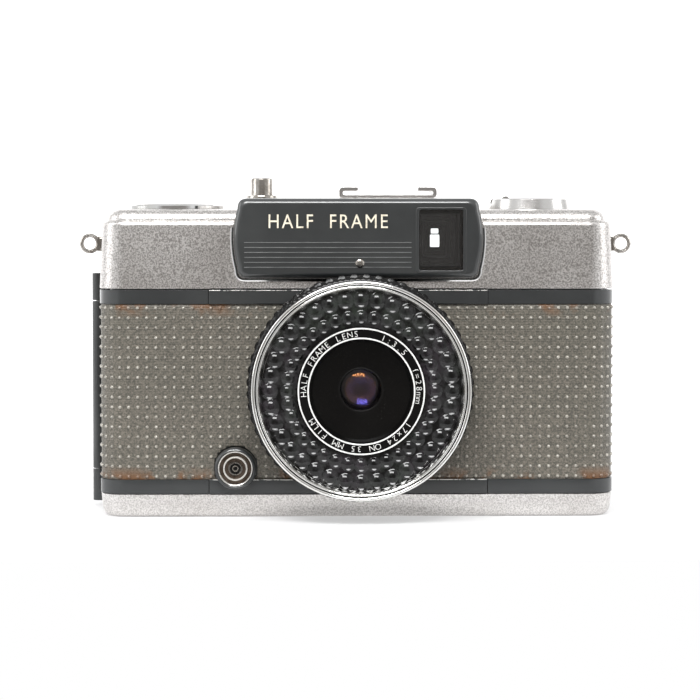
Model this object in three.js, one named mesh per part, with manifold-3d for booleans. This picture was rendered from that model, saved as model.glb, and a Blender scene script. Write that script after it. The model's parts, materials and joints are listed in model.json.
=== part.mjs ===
// A half-frame 35 mm viewfinder camera, built as it would come apart on a bench.
// Millimetres. +X is to the right as seen from the front, +Y runs from the lens to the back
// of the camera and +Z is up. The origin lies on the base plate, below the lens axis.
import * as THREE from "three";
import { mergeVertices } from "three/addons/utils/BufferGeometryUtils.js";
import Module from "manifold-3d";

const wasm = await Module();
wasm.setup();

// ---- Driving dimensions ----
const GAP = 0.15; // seam between neighbouring pieces
const BODY = { x0: -56.6, x1: 55.6, y0: -14.5, y1: 15.1, corner: 6 };
const PARTING_Y = 8.5; // where the back door meets the body
const BASE_TOP = 5.05; // top edge of the bottom cover
const LEATHER_Z = [8.2, 46.4]; // the leather lies between the two dark strips
const BODY_TOP = 49.5; // top edge of the upper strip
const LEATHER = 0.7; // leather thickness
const SHOULDER_Z = 64.3; // ledge between the two tiers of the top cover
const TIER_Z = 66.8; // flat top of the cover
const HUMP = { x0: -26.4, x1: 25.8, z: 69.2, corner: 2.2 };
const COVER_WALL = 1.1;
const DOOR = { z0: 1.3, z1: 52.6, wall: 1.2 };
const HINGE = { x: -58.3, y: PARTING_Y, r: 1.45, bore: 0.8, pin: 0.6 };
const CAVITY_Z = [5.6, 50.5]; // floor and ceiling of the film space
const CEILING_TOP = 52.2;

const LENS_Z = 28.5;
const LENS_FRONT = -30.5;
const BEZEL_R = 23.2;
const APERTURE_R = 24.4;
const SPEED_R = 23.9;
const CELL_R = [13.7, 20.9]; // inner and outer radius of the ring-shaped light cell
const NAME_R = [11.2, 13.45];
const SHUTTER_R = 17.4;
const GATE = { w: 17, h: 24, y: 9.5 }; // half-frame negative, 17 x 24 mm

const ADVANCE = { x: -40.6, y: 2.2, wheel: 13.6, z: [53.2, 57.0] };
const SPROCKET_X = -21.1;
const GEAR = { module: 0.75, teeth: 26, z: [57.6, 59.6] };
const REWIND = { x: 38.1, y: 0.3, r: 9.2 };
const BUTTON = { x: -21.3, y: -2, r: 2.4, top: 73.7 };
const SHOE = { x: 6.3, w: 21.3, slot: 6.5, depth: 18, top: 71.65 };
const PLATE = { z0: 51.9, bulge: 0.9, y0: -16.5, y1: -13.4 }; // the dark plate round the finder
const FINDER = { x0: 12.8, x1: 22.2, z0: 53.7, z1: 66.7, eyeX: 17.0, eyeZ: 60.2 };
const SYNC = { x: -26.9, z: 10.9, r: 4.55 };
const PANEL = { x0: -32.6, x1: 27.7 };
const TRIPOD = { x: 14, y: 0, bore: 3.1, r: 5.6, top: 6.8 };
const LUG_Z = 59.3;

// ---- Materials ----
const finish = (color, roughness, metalness) =>
  new THREE.MeshStandardMaterial({ color, roughness, metalness });
const SATIN = finish(0xb9b6b0, 0.45, 0.9);
const CHROME = finish(0xd8d8d8, 0.15, 1);
const GREY_PAINT = finish(0x3f4446, 0.5, 0.2);
const LEATHERETTE = finish(0x7c7a72, 0.7, 0);
const BLACK_PAINT = finish(0x17181a, 0.55, 0.2);
const BLACK_PLASTIC = finish(0x1c1c1c, 0.5, 0);
const GLASS = finish(0x9fb0c0, 0.05, 0);
const STEEL = finish(0xa8a8a8, 0.3, 1);
const CELL = finish(0x3a2c2a, 0.35, 0.2);
const RED = finish(0xb02020, 0.5, 0);

// ---- Solids ----
function solid(geometry) {
  const bare = geometry.index ? geometry.toNonIndexed() : geometry.clone();
  bare.deleteAttribute("normal");
  bare.deleteAttribute("uv");
  const merged = mergeVertices(bare, 1e-3);
  return new wasm.Manifold(
    new wasm.Mesh({
      numProp: 3,
      vertProperties: merged.attributes.position.array,
      triVerts: new Uint32Array(merged.index.array),
    }),
  );
}

function geometryOf(body) {
  const m = body.getMesh();
  return new THREE.BufferGeometry()
    .setAttribute("position", new THREE.BufferAttribute(m.vertProperties, 3))
    .setIndex(new THREE.BufferAttribute(m.triVerts, 1))
    .toNonIndexed();
}

const join = (first, ...rest) => rest.reduce((a, b) => a.add(b), first);
const cut = (first, ...rest) => rest.reduce((a, b) => a.subtract(b), first);

function box(x0, x1, y0, y1, z0, z1) {
  const g = new THREE.BoxGeometry(x1 - x0, y1 - y0, z1 - z0);
  return solid(g.translate((x0 + x1) / 2, (y0 + y1) / 2, (z0 + z1) / 2));
}

// A closed profile of [radius, height] points, turned about an axis. Its order doesn't matter.
function turned(profile, segments = 24) {
  let area = 0;
  profile.forEach(([r, h], i) => {
    const [r2, h2] = profile[(i + 1) % profile.length];
    area += r * h2 - r2 * h;
  });
  const points = (area > 0 ? profile : [...profile].reverse()).map(([r, h]) => new THREE.Vector2(r, h));
  return new THREE.LatheGeometry([...points, points[0].clone()], segments);
}
const alongY = (profile, segments) => solid(turned(profile, segments));
const alongZ = (profile, segments) => solid(turned(profile, segments).rotateX(Math.PI / 2));
const ringProfile = (r0, r1, a, b) => [[r0, a], [r1, a], [r1, b], [r0, b]];
const rod = (x, y, r, z0, z1, segments = 16) =>
  alongZ(ringProfile(0, r, z0, z1), segments).translate(x, y, 0);
const rodY = (x, z, r, y0, y1, segments = 16) =>
  alongY(ringProfile(0, r, y0, y1), segments).translate(x, 0, z);

// A rectangle with its own radius at each corner: near-left, near-right, far-right, far-left.
function rounded(x0, x1, y0, y1, radii) {
  const [a, b, c, d] = Array.isArray(radii) ? radii : [radii, radii, radii, radii];
  const s = new THREE.Shape();
  const quarter = Math.PI / 2;
  s.absarc(x0 + a, y0 + a, a, 2 * quarter, 3 * quarter);
  s.absarc(x1 - b, y0 + b, b, 3 * quarter, 4 * quarter);
  s.absarc(x1 - c, y1 - c, c, 0, quarter);
  s.absarc(x0 + d, y1 - d, d, quarter, 2 * quarter);
  return s;
}

function prism(shape, z0, z1, curveSegments = 5) {
  const g = new THREE.ExtrudeGeometry(shape, { depth: z1 - z0, bevelEnabled: false, curveSegments });
  return solid(g.translate(0, 0, z0));
}

// A shape drawn as seen from the front, given thickness from y0 back to y1.
function facing(shape, y0, y1, curveSegments = 5) {
  const g = new THREE.ExtrudeGeometry(shape, { depth: y1 - y0, bevelEnabled: false, curveSegments });
  return solid(g.rotateX(Math.PI / 2).translate(0, y1, 0));
}

// The body's outline in plan, drawn in by inset.
function outline(inset, y1 = BODY.y1, rear = BODY.corner) {
  const r = Math.max(BODY.corner - inset, 0.6);
  const back = Math.max(rear - inset, 0.6);
  return rounded(BODY.x0 + inset, BODY.x1 - inset, BODY.y0 + inset, y1 - inset, [r, r, back, back]);
}

// A skin through outlines of equal point count at rising heights: [z, inset] pairs.
function loft(levels, y1, points = 5) {
  const rings = levels.map(([z, inset]) =>
    outline(inset, y1).getPoints(points).map((p) => new THREE.Vector3(p.x, p.y, z)),
  );
  const count = rings[0].length;
  const flat = [];
  const face = (a, b, c) => flat.push(...a.toArray(), ...b.toArray(), ...c.toArray());
  for (let k = 0; k + 1 < rings.length; k++)
    for (let i = 0; i < count; i++) {
      const j = (i + 1) % count;
      face(rings[k][i], rings[k][j], rings[k + 1][j]);
      face(rings[k][i], rings[k + 1][j], rings[k + 1][i]);
    }
  for (const [ring, up] of [[rings[0], false], [rings.at(-1), true]]) {
    const centre = new THREE.Vector3(0, 0, ring[0].z);
    for (let i = 0; i < count; i++) {
      const pair = [ring[i], ring[(i + 1) % count]];
      if (!up) pair.reverse();
      face(centre, ...pair);
    }
  }
  const g = new THREE.BufferGeometry();
  g.setAttribute("position", new THREE.Float32BufferAttribute(flat, 3));
  return solid(g);
}

// ---- Assembly ----
const camera = new THREE.Group();
const groupAt = (x, y, z, parent = camera) => {
  const g = new THREE.Group();
  g.position.set(x, y, z);
  parent.add(g);
  return g;
};
function piece(name, body, material, parent = camera) {
  const m = new THREE.Mesh(geometryOf(body), material);
  m.name = name;
  parent.add(m);
}

const lens = groupAt(0, 0, LENS_Z);
const advance = groupAt(ADVANCE.x, ADVANCE.y, 0);
const sprocketGroup = groupAt(SPROCKET_X, ADVANCE.y, 0);
const rewind = groupAt(REWIND.x, REWIND.y, 0);
const release = groupAt(BUTTON.x, BUTTON.y, 0);
const sync = groupAt(SYNC.x, 0, SYNC.z);

// ---- Die-cast body ----
// A film space with a round front and an open back.
function bay(x, y, r, z0 = CAVITY_Z[0], z1 = CAVITY_Z[1]) {
  const s = new THREE.Shape();
  s.absarc(x, y, r, Math.PI, 2 * Math.PI);
  s.lineTo(x + r, BODY.y1 + 1);
  s.lineTo(x - r, BODY.y1 + 1);
  return prism(s, z0, z1, 12);
}

function knuckle(z0, z1) {
  return alongZ(ringProfile(HINGE.bore, HINGE.r, z0, z1), 20).translate(HINGE.x, HINGE.y, 0);
}

// The film runs on two rails each side of the picture opening.
function filmGate() {
  const { y } = GATE;
  const rail = (z, h) => box(-13.5, 24.2, y, y + 0.9, z - h / 2, z + h / 2);
  return join(
    box(-13.5, 24.2, y - 0.5, y + 0.5, LENS_Z - 18.5, LENS_Z + 18.5),
    rail(LENS_Z - 13.6, 1.6),
    rail(LENS_Z + 13.6, 1.6),
    rail(LENS_Z - 17.9, 1.2),
    rail(LENS_Z + 17.9, 1.2),
  );
}

function chassis() {
  const [z0, z1] = LEATHER_Z;
  const core = join(
    prism(outline(1.5), 4.0, BASE_TOP + 0.2),
    prism(outline(0.05), BASE_TOP + GAP, z0),
    prism(outline(LEATHER + 0.15), z0, z1),
    prism(outline(0.05), z1, BODY_TOP - 0.1),
    prism(outline(2.3), BODY_TOP - 0.1, CEILING_TOP),
  );
  const lip = box(-54.4, 53.4, 0, 11.3, 4.5, 51.2);
  const shell = join(core.subtract(box(-60, 60, PARTING_Y - 0.1, 20, 0, 60)), lip);
  const web = (a, b) => box(HINGE.x + 1, -55.6, 6.9, HINGE.y - 0.2, a, b);
  const hinged = cut(
    join(shell, knuckle(DOOR.z0, z0 + 0.2), knuckle(z1 + 0.1, DOOR.z1), web(5.4, z0), web(z1 + 0.1, 49.2)),
    rod(HINGE.x, HINGE.y, HINGE.bore, 0, 60, 20),
  );
  const hollowed = cut(
    hinged,
    bay(REWIND.x, REWIND.y, 12.9),
    rod(REWIND.x, REWIND.y, 5.5, 4.6, 6),
    bay(ADVANCE.x, ADVANCE.y, 11.6),
    bay(SPROCKET_X, ADVANCE.y, 7.2),
    box(-40, -20, 1, 20, ...CAVITY_Z),
    box(-54, 51, GATE.y - 0.2, 20, ...CAVITY_Z),
    box(-10, 10, -20, 20, LENS_Z - 13.5, LENS_Z + 13.5),
    rodY(0, LENS_Z, SHUTTER_R + 0.4, -20, -6, 32),
    box(PANEL.x0 - GAP, PANEL.x1 + GAP, -20, -12.95, BASE_TOP, BODY_TOP),
    rod(REWIND.x, REWIND.y, 3.3, 45, 60),
    rod(ADVANCE.x, ADVANCE.y, 2.6, 45, 60),
    rod(SPROCKET_X, ADVANCE.y, 2.6, 45, 60),
    rod(TRIPOD.x, TRIPOD.y, TRIPOD.r + 0.2, 0, TRIPOD.top + 0.2),
    rod(SPROCKET_X, ADVANCE.y, 2.7, 0, 6),
  );
  const { w, h } = GATE;
  return cut(join(hollowed, filmGate()), box(-w / 2, w / 2, 0, 20, LENS_Z - h / 2, LENS_Z + h / 2));
}
piece("chassis", chassis(), GREY_PAINT);

// The plate that carries the lens. Its lips show above and below the leather.
function frontPanel() {
  const body = join(
    box(PANEL.x0, PANEL.x1, -13.55, -13.05, BASE_TOP + GAP, BODY_TOP - GAP),
    box(PANEL.x0, PANEL.x1, -14.75, -13.05, BASE_TOP + GAP, LEATHER_Z[0]),
    box(PANEL.x0, PANEL.x1, -14.75, -13.05, LEATHER_Z[1], BODY_TOP - GAP),
  );
  return cut(body, rodY(0, LENS_Z, SHUTTER_R + 0.3, -20, 0, 32));
}
piece("front_panel", frontPanel(), GREY_PAINT);

// The lens parts the front leather into two pieces.
function frontLeather(x0, x1) {
  const [z0, z1] = LEATHER_Z;
  const sheet = cut(prism(outline(0), z0 + 0.1, z1 - 0.1), prism(outline(LEATHER), 0, 60));
  return cut(
    sheet.intersect(box(x0, x1, -20, 20, 0, 60)),
    box(-60, 60, PARTING_Y - 0.2, 20, 0, 60),
    box(-60, -54, 6.6, 20, 0, 60),
    rodY(0, LENS_Z, 22.0, -20, 0, 24),
    rodY(SYNC.x, SYNC.z, SYNC.r + 0.15, -20, 0),
  );
}
piece("front_leather_left", frontLeather(-60, 0), LEATHERETTE);
piece("front_leather_right", frontLeather(0, 60), LEATHERETTE);

piece("hinge_pin", rod(HINGE.x, HINGE.y, HINGE.pin, DOOR.z0 + 0.2, DOOR.z1 - 0.2, 12), STEEL);

// ---- Top cover ----
// The hump and the dark plate share this outline, with slightly bowed sides.
function humpShape(z0, bulge, grow = 0) {
  const { x0, x1, z, corner } = HUMP;
  const [l, r, t, b] = [x0 - grow, x1 + grow, z + grow, z0 - grow];
  const mid = (t + b) / 2;
  const s = new THREE.Shape();
  s.moveTo(l + corner, b);
  s.lineTo(r - corner, b);
  s.quadraticCurveTo(r, b, r, b + corner);
  s.quadraticCurveTo(r + 2 * bulge, mid, r, t - corner);
  s.quadraticCurveTo(r, t, r - corner, t);
  s.lineTo(l + corner, t);
  s.quadraticCurveTo(l, t, l, t - corner);
  s.quadraticCurveTo(l - 2 * bulge, mid, l, b + corner);
  s.quadraticCurveTo(l, b, l + corner, b);
  return s;
}

// The eyepiece frame lies in a shallow pocket of the same outline.
function eyepieceOutline(grow, y0, y1) {
  const [w, h] = [5.4 + grow, 6 + grow];
  const shape = rounded(FINDER.eyeX - w, FINDER.eyeX + w, FINDER.eyeZ - h, FINDER.eyeZ + h, 1.5 + grow);
  return facing(shape, y0, y1, 5);
}

function topCover() {
  const skin = loft(
    [[BODY_TOP + GAP, 0], [63.6, 0.75], [64.1, 0.95], [SHOULDER_Z, 1.4],
      [SHOULDER_Z + 0.1, 1.75], [66.2, 2.2], [TIER_Z, 2.9]],
    14.9,
  );
  const hump = facing(humpShape(58, 0), -12.9, 12.8, 6);
  const w = COVER_WALL;
  const hollow = join(
    prism(outline(0.9 + w, 14.9), 40, 62.8),
    prism(outline(2.9 + w, 14.9), 40, TIER_Z - w),
    box(HUMP.x0 + w, HUMP.x1 - w, -11.6, 11.6, 60, HUMP.z - w),
  );
  return cut(
    join(skin, hump),
    hollow,
    facing(humpShape(PLATE.z0, PLATE.bulge, 0.25), -20, PLATE.y1 + 0.15, 6),
    box(-60, 60, PARTING_Y - 0.1, 20, 40, DOOR.z1 + 0.2),
    box(-53.4, -27.8, 8, 20, DOOR.z1, 57.6),
    box(FINDER.x0 - 1.2, FINDER.x1 + 1.2, -20, -10, FINDER.z0 - 1.2, FINDER.z1 + 1.2),
    box(FINDER.eyeX - 4.2, FINDER.eyeX + 4.2, 10, 20, FINDER.eyeZ - 5.2, FINDER.eyeZ + 5.2),
    eyepieceOutline(0.15, 13.6, 20),
    rod(ADVANCE.x, ADVANCE.y, 2.2, 60, 70),
    rod(REWIND.x, REWIND.y, 2.6, 60, 70),
    rod(BUTTON.x, BUTTON.y, 3.1, 60, 70),
    rod(SHOE.x, 0, 2.0, 60, 70),
    box(-60, -50, -1.6, 1.6, LUG_Z - 1.6, LUG_Z + 1.6),
    box(50, 60, -1.6, 1.6, LUG_Z - 1.6, LUG_Z + 1.6),
  );
}
piece("top_cover", topCover(), SATIN);

function faceplate() {
  const { y0, y1, z0, bulge } = PLATE;
  const front = facing(humpShape(z0, bulge, -1.1), y0, y1, 6);
  const middle = facing(humpShape(z0, bulge, -0.35), y0 + 0.5, y1, 6);
  const back = facing(humpShape(z0, bulge), y0 + 1.3, y1, 6);
  const { x0, x1 } = FINDER;
  return cut(
    join(front, middle, back),
    box(x0 - 0.15, x1 + 0.15, -20, 0, FINDER.z0 - 0.15, FINDER.z1 + 0.15),
    rodY(0, 55.2, 0.6, -20, 0, 12),
  );
}
piece("faceplate", faceplate(), GREY_PAINT);
piece("index_stud",
  alongY([[0, -16.9], [0.7, -16.9], [1, -16.65], [0.45, -16.6], [0.45, -14], [0, -14]], 20)
    .translate(0, 0, 55.2),
  CHROME);

// ---- Viewfinder ----
piece("finder_window", box(FINDER.x0, FINDER.x1, -15.7, -15.0, FINDER.z0, FINDER.z1), GLASS);

function finderTube() {
  const { x0, x1, z0, z1, eyeX, eyeZ } = FINDER;
  const outer = join(
    box(x0 - 1, x1 + 1, -12.9, -2, z0 - 1, z1 + 1),
    box(eyeX - 4.6, eyeX + 4.6, -2.2, 11.4, eyeZ - 5.8, eyeZ + 5.8),
  );
  return cut(
    outer,
    box(x0 + 0.2, x1 - 0.2, -20, -3, z0 + 0.6, z1 - 0.6),
    box(eyeX - 3.4, eyeX + 3.4, -20, 20, eyeZ - 4.4, eyeZ + 4.4),
    box(10, x0 + 4, -4.6, -3.4, z0 - 0.2, z1),
  );
}
piece("finder_tube", finderTube(), BLACK_PLASTIC);

// A rectangular pane with one hollowed or bulging face, cut from a turned blank.
function pane(x, z, w, h, profile) {
  const size = box(x - w / 2, x + w / 2, -30, 30, z - h / 2, z + h / 2);
  return alongY(profile, 24).translate(x, 0, z).intersect(size);
}
piece("finder_objective",
  pane((FINDER.x0 + FINDER.x1) / 2, 60.2, 8.6, 11.4, [[0, -10.6], [9, -11.6], [9, -9.6], [0, -9.6]]),
  GLASS);
piece("finder_eyepiece",
  pane(FINDER.eyeX, FINDER.eyeZ, 6.4, 8.4, [[0, 9.2], [6, 9.2], [6, 10.6], [0, 11.2]]),
  GLASS);
piece("eyepiece_frame",
  cut(
    join(
      eyepieceOutline(0, 13.75, 15.3),
      box(FINDER.eyeX - 4, FINDER.eyeX + 4, 12, 15, FINDER.eyeZ - 5, FINDER.eyeZ + 5),
    ),
    box(FINDER.eyeX - 2.6, FINDER.eyeX + 2.6, 0, 20, FINDER.eyeZ - 3.4, FINDER.eyeZ + 3.4),
  ),
  BLACK_PLASTIC);

// A flag that swings into the finder when the light is too low.
const FLAG = { x: 11.0, z: 54.6, y: -4.0 };
function flag() {
  const s = new THREE.Shape();
  const [from, to] = [95, 130].map(THREE.MathUtils.degToRad);
  s.absarc(0, 0, 8, from, to);
  s.absarc(0, 0, 1.0, to, from, true);
  const blade = facing(s, -0.15, 0.15, 8);
  return cut(join(blade, rodY(0, 0, 1.2, -0.15, 0.15, 16)), rodY(0, 0, 0.4, -1, 1, 10));
}
piece("low_light_flag", flag(), RED, groupAt(FLAG.x, FLAG.y, FLAG.z));

// ---- Light meter ----
const METER = { x: -1.5, y: -2, z0: 53.0, z1: 61.5, r: 7.4 };
piece("meter_housing",
  cut(
    rod(METER.x, METER.y, METER.r, METER.z0, METER.z1, 24),
    rod(METER.x, METER.y, METER.r - 1, 59.2, 63, 24),
  ),
  BLACK_PLASTIC);
function needle() {
  const arm = box(-0.25, 0.25, -5.8, 1.6, 60.0, 60.3);
  return join(arm, alongZ(ringProfile(0, 0.9, 59.5, 61.0), 12));
}
piece("meter_needle", needle(), STEEL, groupAt(METER.x, METER.y, 0));

// ---- Accessory shoe ----
function shoe() {
  const half = SHOE.w / 2;
  const [z0, z1] = [HUMP.z + 0.05, SHOE.top];
  const sheet = 0.6;
  const d = SHOE.depth / 2;
  const [left, right] = [SHOE.x - half, SHOE.x + half];
  const folded = join(
    box(left, right, -d, d, z0, z0 + 0.5),
    box(left, left + sheet, -d, d, z0, z1),
    box(right - sheet, right, -d, d, z0, z1),
    box(left, SHOE.x - SHOE.slot, -d, d, z1 - sheet, z1),
    box(SHOE.x + SHOE.slot, right, -d, d, z1 - sheet, z1),
  );
  return cut(folded, rod(SHOE.x, 0, 2.4, 60, 80));
}
piece("accessory_shoe", shoe(), CHROME);
piece("shoe_contact",
  alongZ(
    [[0, 66.5], [1.7, 66.5], [1.7, 69.3], [2.2, 69.3],
      [2.2, 69.75], [0.9, 69.8], [0.8, 70.0], [0, 70.05]], 20)
    .translate(SHOE.x, 0, 0),
  BLACK_PLASTIC);

// ---- Frame counter ----
const COUNTER_R = 10.85;
function counterCover() {
  const z = TIER_Z + 0.1;
  const disc = alongZ(
    [[0, z + 1.1], [9.2, z + 1.1], [9.2, z], [COUNTER_R, z],
      [COUNTER_R, z + 0.45], [9.7, z + 1.7], [0, z + 1.95]], 24);
  return cut(disc, box(-2.6, 2.6, 3.6, 7.4, 60, 80));
}
piece("counter_cover", counterCover(), SATIN, advance);
piece("counter_window", box(-2.4, 2.4, 3.8, 7.2, TIER_Z + 1.2, TIER_Z + 1.6), GLASS, advance);
piece("counter_dial",
  alongZ([[0, 60.4], [1.5, 60.4], [1.5, 67.1], [8.6, 67.1], [8.6, 67.6], [0, 67.6]], 32),
  BLACK_PAINT, advance);

// ---- Shutter release ----
piece("button_collar",
  alongZ([[2.6, 67.6], [2.95, 67.6], [2.95, 69.25], [3.35, 69.25], [3.35, 69.7], [3.1, 70], [2.6, 70]], 20),
  CHROME, release);
piece("shutter_button",
  alongZ(
    [[0, 61.8], [1.6, 61.8], [1.6, 66], [BUTTON.r, 66], [BUTTON.r, BUTTON.top - 0.3], [2.1, BUTTON.top],
      [1.3, BUTTON.top], [1.0, BUTTON.top - 2.6], [0, BUTTON.top - 3]], 20),
  CHROME, release);

function spring(radius, wire, z0, z1, turns, perTurn) {
  const steps = turns * perTurn;
  const points = [];
  for (let i = 0; i <= steps; i++) {
    const a = (2 * Math.PI * i) / perTurn;
    points.push(new THREE.Vector3(radius * Math.cos(a), radius * Math.sin(a), z0 + ((z1 - z0) * i) / steps));
  }
  const section = new THREE.Shape().absarc(0, 0, wire, 0, 2 * Math.PI);
  const path = new THREE.CatmullRomCurve3(points);
  const options = { steps, extrudePath: path, curveSegments: 3, bevelEnabled: false };
  return solid(new THREE.ExtrudeGeometry(section, options));
}
piece("button_spring", spring(2.05, 0.2, 62.9, 65.7, 3, 9), STEEL, release);
// The bridge stands over the gears and guides the stem of the button.
piece("gear_bridge",
  cut(
    join(
      box(-33, -8.6, -11.2, 2, 61.6, 62.4),
      rod(-31, -9.6, 1.2, CEILING_TOP + GAP, 61.8, 14),
      rod(-10.2, -9.6, 1.2, CEILING_TOP + GAP, 61.8, 14),
    ),
    rod(BUTTON.x, BUTTON.y, 1.8, 60, 64, 16),
  ),
  STEEL);

// ---- Strap lugs ----
function lug(side) {
  const eye = facing(new THREE.Shape().absarc(0, 0, 2.25, 0, 2 * Math.PI), -0.6, 0.6, 12);
  const foot = join(
    box(0, 2.6, -0.6, 0.6, -2.15, 2.15),
    box(2.4, 4.6, -1.3, 1.3, -1.4, 1.4),
  );
  const made = cut(join(eye, foot), rodY(-0.1, 0, 1.35, -5, 5, 20));
  return side < 0 ? made : made.rotate([0, 0, 180]);
}
piece("strap_lug_left", lug(-1), CHROME, groupAt(-59.45, 0, LUG_Z));
piece("strap_lug_right", lug(1), CHROME, groupAt(58.45, 0, LUG_Z));

// ---- Base ----
function bottomCover() {
  const skin = loft([[0, 2.3], [0.35, 1.3], [1.1, 0.7], [2.2, 0.4], [BASE_TOP, 0.2]], 14.9);
  return cut(
    skin,
    prism(outline(1.35, 14.9), 1.1, 10),
    box(-60, 60, PARTING_Y - 0.1, 20, 1.15, 10),
    rod(TRIPOD.x, TRIPOD.y, 4.6, -1, 3),
    rod(SPROCKET_X, ADVANCE.y, 2.5, -1, 3),
  );
}
piece("bottom_cover", bottomCover(), SATIN);
piece("tripod_bush",
  alongZ([[TRIPOD.bore, 0.05], [4.4, 0.05], [4.4, 1.3], [TRIPOD.r, 1.3], [TRIPOD.r, TRIPOD.top],
    [0, TRIPOD.top], [0, TRIPOD.top - 1], [TRIPOD.bore, TRIPOD.top - 1]], 20)
    .translate(TRIPOD.x, TRIPOD.y, 0),
  STEEL);
piece("rewind_release_button",
  alongZ([[0, 0.1], [2.0, 0.1], [2.2, 0.4], [2.2, 1.6], [2.0, 1.6], [2.0, 4.6], [0, 4.6]], 20),
  CHROME, sprocketGroup);

// ---- Lens ----
piece("shutter_housing",
  alongY(
    [[SHUTTER_R, -6.4], [SHUTTER_R, -14.85], [21.6, -14.85], [21.6, -17.0], [20.6, -17.0], [20.6, -25.25],
      [15.4, -25.25], [15.4, -21.6], [15.2, -21.6], [15.2, -8.2], [11.0, -8.2], [11.0, -6.4]], 24),
  BLACK_PAINT, lens);
piece("aperture_ring",
  alongY(
    [[20.8, -17.2], [22.0, -17.2], [APERTURE_R, -18.0], [APERTURE_R, -20.9],
      [23.2, -21.4], [20.8, -21.4]], 32),
  BLACK_PAINT, lens);
piece("film_speed_ring",
  alongY(
    [[20.8, -21.6], [23.2, -21.6], [SPEED_R, -22.0], [SPEED_R, -24.9],
      [23.0, -25.2], [20.8, -25.2]], 32),
  BLACK_PAINT, lens);
piece("cell_bezel",
  alongY(
    [[20.65, -25.4], [BEZEL_R, -25.4], [BEZEL_R, -29.6], [22.6, LENS_FRONT], [21.9, LENS_FRONT],
      [21.4, -29.4], [21.1, -27.0], [21.1, -26.1], [20.65, -26.1]], 32),
  CHROME, lens);
piece("selenium_cell",
  alongY(ringProfile(CELL_R[0] + 0.3, CELL_R[1] - 0.2, -27.4, -26.6), 24),
  CELL, lens);
piece("cell_window",
  alongY(
    [[CELL_R[0], -27.7], [CELL_R[1], -27.7], [CELL_R[1], -28.4],
      [17.4, -29.5], [CELL_R[0], -28.9]], 24),
  GLASS, lens);
piece("name_ring",
  alongY([[NAME_R[0], -25.4], [NAME_R[1], -25.4], [NAME_R[1], -30.1], [NAME_R[0], -30.1]], 24),
  BLACK_PAINT, lens);
piece("lens_barrel",
  alongY(
    [[14.9, -24.6], [10.9, -24.6], [10.9, -29.4], [10.6, -29.4], [9.6, -26.2], [8.2, -25.8], [6.6, -24.2],
      [4.3, -23.6], [4.3, -23.3], [5.6, -23.2], [5.6, -20.2], [4.0, -20.2], [4.0, -19.6], [14.9, -19.6]], 24),
  BLACK_PAINT, lens);
piece("front_lens",
  alongY([[0, -23.5], [2.2, -23.35], [3.9, -22.9], [5.3, -22.3], [5.3, -21.2], [3, -20.9], [0, -20.8]], 24),
  GLASS, lens);
piece("rear_lens",
  alongY([[0, -14.6], [3.2, -14.2], [4.8, -13.6], [4.8, -12.6], [3.2, -11.7], [0, -11.4]], 24),
  GLASS, lens);
piece("lens_rear_cell",
  alongY(
    [[5.0, -15.4], [14.8, -15.4], [14.8, -13.9], [6.6, -13.9],
      [6.6, -9.4], [4.4, -9.4], [4.4, -11.0], [5.0, -11.6]], 24),
  BLACK_PAINT, lens);

// Thin blades that swing on pins between the lens groups. Each pair is one shape turned half round.
const BLADE_PIVOT = [-8.5, -8];
function blade(notch, y) {
  const s = new THREE.Shape();
  const [px, pz] = BLADE_PIVOT;
  s.moveTo(-1.2, 0.9);
  s.lineTo(-4.2 - px, 4.2 - pz);
  s.lineTo(0.5 - px, 4.2 - pz);
  if (notch) {
    s.lineTo(0.5 - px, 1.3 - pz);
    s.lineTo(-0.9 - px, -pz);
    s.lineTo(0.5 - px, -1.3 - pz);
  }
  s.lineTo(0.5 - px, -4.2 - pz);
  s.lineTo(1, -1.2);
  const [front, rear] = [y - 0.08, y + 0.08];
  return cut(join(facing(s, front, rear), rodY(0, 0, 1.4, front, rear, 16)), rodY(0, 0, 0.4, -30, 0, 10));
}
function bladePair(prefix, notch, y, mirror, parked) {
  ["a", "b"].forEach((letter, i) => {
    const turn = i * Math.PI;
    const pivot = groupAt(
      mirror * (BLADE_PIVOT[0] * Math.cos(turn)), 0, BLADE_PIVOT[1] * Math.cos(turn), lens);
    pivot.rotation.y = -turn + mirror * -parked;
    let shape = blade(notch, y + 0.4 * i);
    if (mirror < 0) shape = shape.mirror([1, 0, 0]);
    piece(prefix + letter, shape, BLACK_PAINT, pivot);
  });
}
bladePair("shutter_blade_", false, -17.3, 1, 0);
bladePair("aperture_blade_", true, -18.9, -1, THREE.MathUtils.degToRad(40));

// ---- Flash cable socket ----
piece("sync_housing",
  alongY([[3.9, -14.95], [SYNC.r, -14.95], [SYNC.r, -16.9], [4.2, -17.3], [3.9, -17.3]], 24),
  GREY_PAINT, sync);
piece("sync_shell",
  alongY([[0, -14.95], [3.75, -14.95], [3.75, -17.6], [3.1, -17.6], [3.1, -15.9], [0, -15.9]], 24),
  CHROME, sync);
piece("sync_pin",
  alongY(
    [[0, -16.0], [1.45, -16.0], [1.45, -17.2], [1.15, -17.2],
      [1.15, -16.6], [0.55, -16.6], [0.55, -16.4], [0, -16.4]], 20),
  CHROME, sync);

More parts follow.
